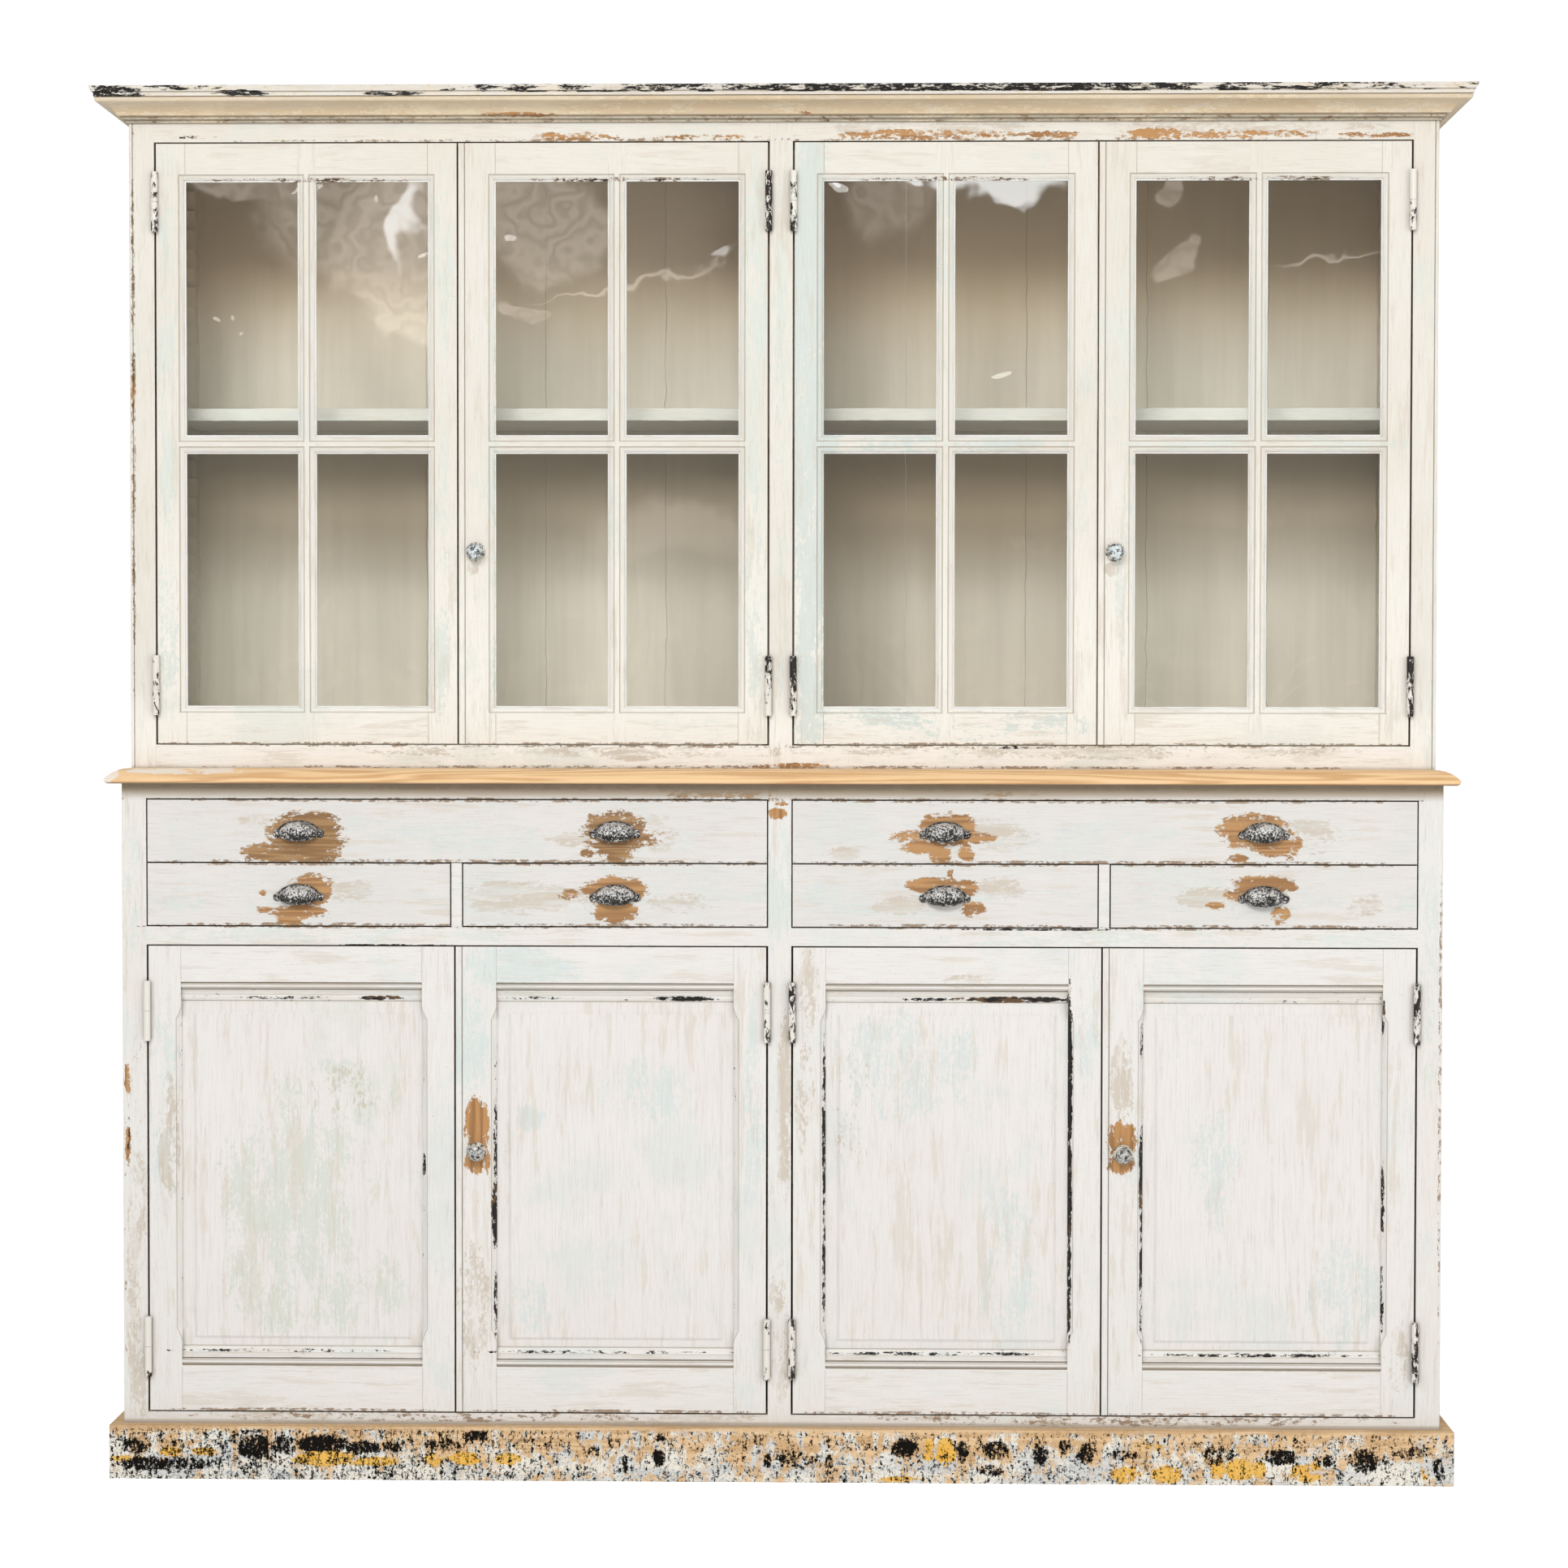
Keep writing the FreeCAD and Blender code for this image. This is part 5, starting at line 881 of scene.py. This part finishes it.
def latch_knob(node, material):
    low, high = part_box(node)
    face_y = low.y + KNOB_REACH
    centre = Vector(((low.x + high.x) / 2, face_y, high.z - PLATE_RADIUS))
    mesh = bmesh.new()
    corners = [
        mesh.verts.new(centre + Vector((radius / 1000, -reach / 1000, 0.0)))
        for radius, reach in KNOB_PROFILE
    ]
    edges = [mesh.edges.new(pair) for pair in zip(corners, corners[1:])]
    bmesh.ops.spin(mesh, geom=corners + edges, cent=centre, axis=(0, 1, 0), angle=math.tau,
                   steps=48, use_merge=True)
    bmesh.ops.remove_doubles(mesh, verts=mesh.verts, dist=0.00002)
    front, top = face_y + DOOR_THICK, centre.z + TONGUE_ABOVE_SPINDLE
    tongue = Vector((0.014, high.y - front, top - low.z))
    middle = Vector((centre.x, (high.y + front) / 2, (top + low.z) / 2))
    block = bmesh.ops.create_cube(mesh, size=1.0)["verts"]
    bmesh.ops.scale(mesh, vec=tongue, verts=block)
    bmesh.ops.translate(mesh, vec=middle, verts=block)
    block_edges = list(dict.fromkeys(edge for corner in block for edge in corner.link_edges))
    bmesh.ops.bevel(mesh, geom=block_edges, offset=0.0005, affect="EDGES", segments=2, profile=0.5,
                    material=-1)
    bmesh.ops.recalc_face_normals(mesh, faces=mesh.faces)
    shown(f"{node}_knob", mesh, material, node, "worn_knob_iron", node)


for kind, plate_coat, head_pale, head_mid, metal in (
    ("glazed", (0.70, 0.65, 0.56, 1), (0.62, 0.68, 0.69, 1), (0.36, 0.38, 0.38, 1), 0.15),
    ("panel", (0.66, 0.60, 0.50, 1), (0.52, 0.51, 0.48, 1), (0.20, 0.19, 0.18, 1), 0.45),
):
    for number in (2, 4):
        node = f"{kind}_door_{number}_latch"
        face_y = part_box(node)[0].y + KNOB_REACH
        finish = knob_finish(f"{node}_finish", face_y, plate_coat, head_pale, head_mid, metal)
        latch_knob(node, finish)

# Drawers: flush softwood fronts on low-sided boxes. Hands have rubbed the paint off round every
# pull, down to orange-brown pine, with streaks along the grain.
BROWN_PATCH = ((0.36, 0.215, 0.10, 1), (0.23, 0.125, 0.055, 1))
ORANGE_PATCH = ((0.46, 0.258, 0.112, 1), (0.29, 0.150, 0.064, 1))
PULL_HALF_WIDTH, PULL_HEIGHT, FRONT_THICK = 0.0415, 0.021, 0.019
drawer_pulls = {}
for name, wood, rubs, flaked in (
    ("long_drawer_left", BROWN_PATCH,
     [(0, 0.012, -0.002, 0.060, 0.036, 1.0), (0, -0.052, -0.030, 0.038, 0.016, 0.95),
      (0, 0.004, -0.036, 0.060, 0.014, 0.95), (1, 0.0, 0.0, 0.053, 0.036, 1.0),
      (1, 0.006, -0.036, 0.020, 0.013, 0.9), (1, -0.045, -0.031, 0.012, 0.009, 0.85),
      (1, 0.062, -0.008, 0.026, 0.014, 0.60)],
     [(0, -0.06, 0.02, 0.05, 0.015, 0.62), (1, -0.07, -0.01, 0.04, 0.012, 0.6),
      (1, 0.07, 0.0, 0.03, 0.03, 0.6)]),
    ("long_drawer_right", ORANGE_PATCH,
     [(0, 0.006, 0.016, 0.043, 0.019, 1.0), (0, -0.003, -0.004, 0.078, 0.013, 0.84),
      (0, -0.032, -0.020, 0.037, 0.012, 0.9), (0, -0.010, -0.034, 0.018, 0.014, 0.9),
      (0, 0.034, -0.029, 0.013, 0.016, 0.9), (1, -0.018, 0.006, 0.054, 0.027, 1.0),
      (1, 0.017, -0.019, 0.036, 0.014, 0.95), (1, -0.041, -0.037, 0.019, 0.007, 0.9),
      (1, 0.042, -0.013, 0.018, 0.026, 0.64)],
     [(0, 0.08, 0.0, 0.07, 0.03, 0.55), (1, 0.07, 0.0, 0.05, 0.03, 0.62),
      (0, -0.16, -0.03, 0.03, 0.01, 0.7)]),
    ("short_drawer_1", ORANGE_PATCH,
     [(0, 0.021, 0.012, 0.036, 0.024, 1.0), (0, -0.003, -0.024, 0.046, 0.012, 0.95),
      (0, -0.014, -0.036, 0.019, 0.012, 0.95), (0, -0.054, -0.020, 0.016, 0.006, 0.85),
      (0, -0.058, 0.006, 0.006, 0.005, 0.8)], [(0, 0.08, 0.01, 0.04, 0.02, 0.5)]),
    ("short_drawer_2", ORANGE_PATCH,
     [(0, 0.0, 0.012, 0.050, 0.022, 1.0), (0, 0.0, -0.021, 0.035, 0.019, 1.0),
      (0, -0.073, 0.004, 0.020, 0.010, 0.68)],
     [(0, -0.15, 0.0, 0.10, 0.025, 0.78), (0, 0.11, -0.01, 0.06, 0.02, 0.5)]),
    ("short_drawer_3", ORANGE_PATCH,
     [(0, -0.014, 0.021, 0.046, 0.012, 1.0), (0, 0.035, 0.016, 0.019, 0.014, 0.95),
      (0, 0.045, -0.017, 0.020, 0.012, 0.85), (0, 0.008, 0.04, 0.006, 0.012, 0.7)],
     [(0, -0.07, -0.01, 0.05, 0.015, 0.7), (0, 0.09, 0.015, 0.04, 0.02, 0.55)]),
    ("short_drawer_4", ORANGE_PATCH,
     [(0, 0.0, 0.021, 0.051, 0.017, 1.0), (0, -0.042, 0.008, 0.021, 0.010, 0.95),
      (0, -0.077, -0.010, 0.014, 0.006, 0.95), (0, 0.026, -0.027, 0.016, 0.015, 0.74)],
     [(0, -0.08, 0.0, 0.06, 0.02, 0.6), (0, 0.16, -0.01, 0.03, 0.02, 0.6)]),
):
    low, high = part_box(f"{name}_box")
    pull_low, pull_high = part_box(f"{name}_pulls")
    pull_z = pull_high.z - PULL_HEIGHT
    if name.startswith("long"):
        centres = [pull_low.x + PULL_HALF_WIDTH, pull_high.x - PULL_HALF_WIDTH]
    else:
        centres = [(pull_low.x + pull_high.x) / 2]
    drawer_pulls[name] = [Vector((x, pull_high.y, pull_z)) for x in centres]
    middle, half_width = (low.x + high.x) / 2, (high.x - low.x) / 2
    dress(painted(
        f"{name}_paint", (0.64, 0.625, 0.60, 1), (0.665, 0.638, 0.612, 1),
        tint=(0.59, 0.625, 0.60, 1), uprights=[], seed=40.0 + len(drawer_pulls), wood=wood,
        bare=[(centres[pull] + x, pull_z + z, *reach) for pull, x, z, *reach in rubs],
        flaked=[(centres[pull] + x, pull_z + z, *reach) for pull, x, z, *reach in flaked],
        nicked=[(middle, low.z + 0.0015, half_width, 0.0035, 0.52),
                (middle, high.z - 0.001, half_width, 0.0025, 0.46)],
        tinted=[(middle - 0.1, pull_z, 0.3, 0.03, 0.45), (middle + 0.3, pull_z, 0.12, 0.03, 0.42)],
        worn_edges=0.30, ends=(low, high), mark_depth=low.y + FRONT_THICK,
        inside=((0.66, 0.47, 0.28, 1), (0.50, 0.33, 0.17, 1)),
    ), f"{name}_box")

# Cup pulls: cast iron hoods with radiating flutes and a rolled rim, on a flange that ends in a
# screwed ear at each side. The black finish is worn to silver on the ridges, more on upward
# faces as a painted highlight, and downward faces are kept black as painted shade.
material, tree, surface, place = new_material("cast_pull_iron")
blot = cloudy(tree, place, 75.0, 4.0, 0.6, 0.3)
fine = cloudy(tree, place, 330.0, 8.0, 0.80, 0.3)
facing = split(tree, put(tree, "ShaderNodeNewGeometry").outputs["Normal"])["Z"]
wear_and_sheen = calc(tree, "MULTIPLY_ADD", fine, 1.8, times(tree, blot, 0.5))
# Upward faces get more silver and downward ones none: painted highlight and painted shade.
wear_and_sheen = calc(tree, "ADD", wear_and_sheen, ease(tree, facing, -0.4, 0.6, -0.12, 0.02))
worn = times(tree, ease(tree, wear_and_sheen, 1.135, 1.165), ease(tree, openness(tree, 0.008), 0.45, 0.9))
feed(tree, surface, {
    "Base Color": mixed(tree, worn, (0.016, 0.014, 0.013, 1), (0.66, 0.645, 0.62, 1)),
    "Metallic": times(tree, worn, 0.25), "Roughness": 0.5, "Specular IOR Level": 0.3,
})
raised(tree, surface, fine, 0.6, 0.0010)

HOOD_HALF, HOOD_REACH, HOOD_WALL = 0.0315, 0.0198, 0.0015
ACROSS, DOWN, DROOP = 60, 20, math.radians(36)
FLANGE_ARCHES, FLANGE_THICK = ((0.0345, 0.0208), (0.0285, 0.0172)), 0.0016
RIM_RADIUS, EAR_AWAY = 0.0010, 0.0340
EAR, SCREW_HEAD = (0.0072, 0.0062, 0.0022, 0.0), (0.0030, 0.0022, 0.0012, 0.0022)


def hood_point(side, turn):
    """side runs from ear to ear and turn from the face, at 90 degrees, down to the rim."""
    flute = 1.0 - 0.07 * abs(math.sin(6.5 * side)) * math.cos(side)
    reach = HOOD_REACH * math.cos(side) * flute
    return Vector((HOOD_HALF * math.sin(side), -reach * math.cos(turn), reach * math.sin(turn)))


def strip(mesh, first, second):
    for index in range(len(first) - 1):
        mesh.faces.new((first[index], first[index + 1], second[index + 1], second[index]))


def cup_pull(mesh, centre):
    sides = [math.radians(160) * (step / ACROSS - 0.5) for step in range(ACROSS + 1)]
    turns = [math.pi / 2 - (math.pi / 2 + DROOP) * step / DOWN for step in range(DOWN + 1)]
    hood = bmesh.new()
    rows = [[hood.verts.new(centre + hood_point(side, turn)) for side in sides] for turn in turns]
    for upper, lower in zip(rows, rows[1:]):
        strip(hood, upper, lower)
    arch = []
    for half, height in FLANGE_ARCHES:
        arch.append([
            hood.verts.new(centre + Vector((-half * math.cos(turn), -FLANGE_THICK,
                                            height * math.sin(turn))))
            for turn in (math.pi * step / 40 for step in range(41))
        ])
    strip(hood, arch[1], arch[0])
    bmesh.ops.recalc_face_normals(hood, faces=hood.faces)
    for face in hood.faces:
        if face.normal.y > 0.2 or (abs(face.normal.y) <= 0.2 and face.normal.z < -0.9):
            face.normal_flip()
    bmesh.ops.solidify(hood, geom=hood.faces[:], thickness=HOOD_WALL)
    scratch = bpy.data.meshes.new("cup_hood")
    hood.to_mesh(scratch)
    hood.free()
    mesh.from_mesh(scratch)
    bpy.data.meshes.remove(scratch)
    rings = []
    for side in sides:
        place = hood_point(side, -DROOP) * 0.985
        ahead = (hood_point(side + 0.01, -DROOP) - hood_point(side - 0.01, -DROOP)).normalized()
        across = ahead.cross(Vector((0, math.cos(DROOP), math.sin(DROOP)))).normalized()
        other = ahead.cross(across)
        rings.append([
            mesh.verts.new(centre + place + RIM_RADIUS * (math.cos(turn) * across
                                                          + math.sin(turn) * other))
            for turn in (math.tau * step / 8 for step in range(8))
        ])
    for first, second in zip(rings, rings[1:]):
        strip(mesh, first + first[:1], second + second[:1])
    mesh.faces.new(rings[0])
    mesh.faces.new(rings[-1])
    for side in (-1, 1):
        spot = centre + Vector((side * EAR_AWAY, 0.0, 0.0))
        for radius, face_radius, thick, away in (EAR, SCREW_HEAD):
            bmesh.ops.create_cone(
                mesh, cap_ends=True, segments=28, radius1=radius, radius2=face_radius, depth=thick,
                matrix=Matrix.Translation(spot + Vector((0, -away - thick / 2, 0)))
                @ Matrix.Rotation(math.pi / 2, 4, "X"))


for name, centres in drawer_pulls.items():
    mesh = bmesh.new()
    for centre in centres:
        cup_pull(mesh, centre)
    shown(f"{name}_cup_pulls", mesh, material, name, "cast_pull_iron", f"{name}_pulls")

# Studio: a plain white floor, a large soft light above and in front, a weaker one at the right,
# and a white surround.
material, tree, surface, place = new_material("studio_floor")
tone = ease(tree, cloudy(tree, place, 0.8, 2.0), 0.3, 0.7, 0.0, 1.0)
seen = put(tree, "ShaderNodeLightPath").outputs["Is Camera Ray"]
feed(tree, surface, {
    "Base Color": mixed(tree, tone, (0.95, 0.95, 0.95, 1), (0.97, 0.97, 0.97, 1)),
    "Roughness": 0.9, "Specular IOR Level": 0.0, "Emission Color": (1.0, 1.0, 1.0, 1.0),
    "Emission Strength": times(tree, seen, 0.45),
})
floor_mesh = bmesh.new()
bmesh.ops.create_grid(floor_mesh, x_segments=1, y_segments=1, size=30.0)
floor = bpy.data.objects.new("studio_floor", bpy.data.meshes.new("studio_floor"))
floor_mesh.to_mesh(floor.data)
floor_mesh.free()
floor.data.materials.append(material)
bpy.context.scene.collection.objects.link(floor)

world = bpy.data.worlds.new("white_surround")
bpy.context.scene.world = world
world.use_nodes = True
sky = world.node_tree
seen = put(sky, "ShaderNodeLightPath").outputs["Is Camera Ray"]
feed(sky, sky.nodes["Background"], {"Color": (1.0, 1.0, 1.0, 1.0),
                                    "Strength": ease(sky, seen, 0.0, 1.0, 0.62, 1.05)})


def soft_light(name, place, target, width, height, power):
    light = bpy.data.lights.new(name, "AREA")
    light.shape = "RECTANGLE"
    light.size = width
    light.size_y = height
    light.energy = power
    lamp = bpy.data.objects.new(name, light)
    lamp.location = place
    lamp.rotation_euler = (Vector(target) - Vector(place)).to_track_quat("-Z", "Y").to_euler()
    bpy.context.scene.collection.objects.link(lamp)


soft_light("overhead_front", (-1.05, -6.6, 4.6), (0.0, 0.0, 1.1), 3.6, 1.8, 272.0)
soft_light("right_fill", (4.2, -3.4, 2.0), (0.0, 0.0, 1.1), 1.8, 2.6, 42.0)

# The camera stands where the photo was taken, a little to the right of the middle.
camera_data = bpy.data.cameras.new("photo_view")
camera_data.lens = 79.26
camera_data.sensor_width = camera_data.sensor_height = 36.0
camera_data.sensor_fit = "HORIZONTAL"
camera_data.clip_end = 200.0
camera = bpy.data.objects.new("photo_view", camera_data)
bpy.context.scene.collection.objects.link(camera)
camera.matrix_world = (
    Matrix.Translation((0.12709, -5.697, 1.26782))
    @ Matrix.Rotation(math.radians(1.2553), 4, "Z")
    @ Matrix.Rotation(math.radians(88.4154), 4, "X")
    @ Matrix.Rotation(math.radians(0.0652), 4, "Z")
)
bpy.context.scene.camera = camera
bpy.context.scene.view_settings.view_transform = "Standard"
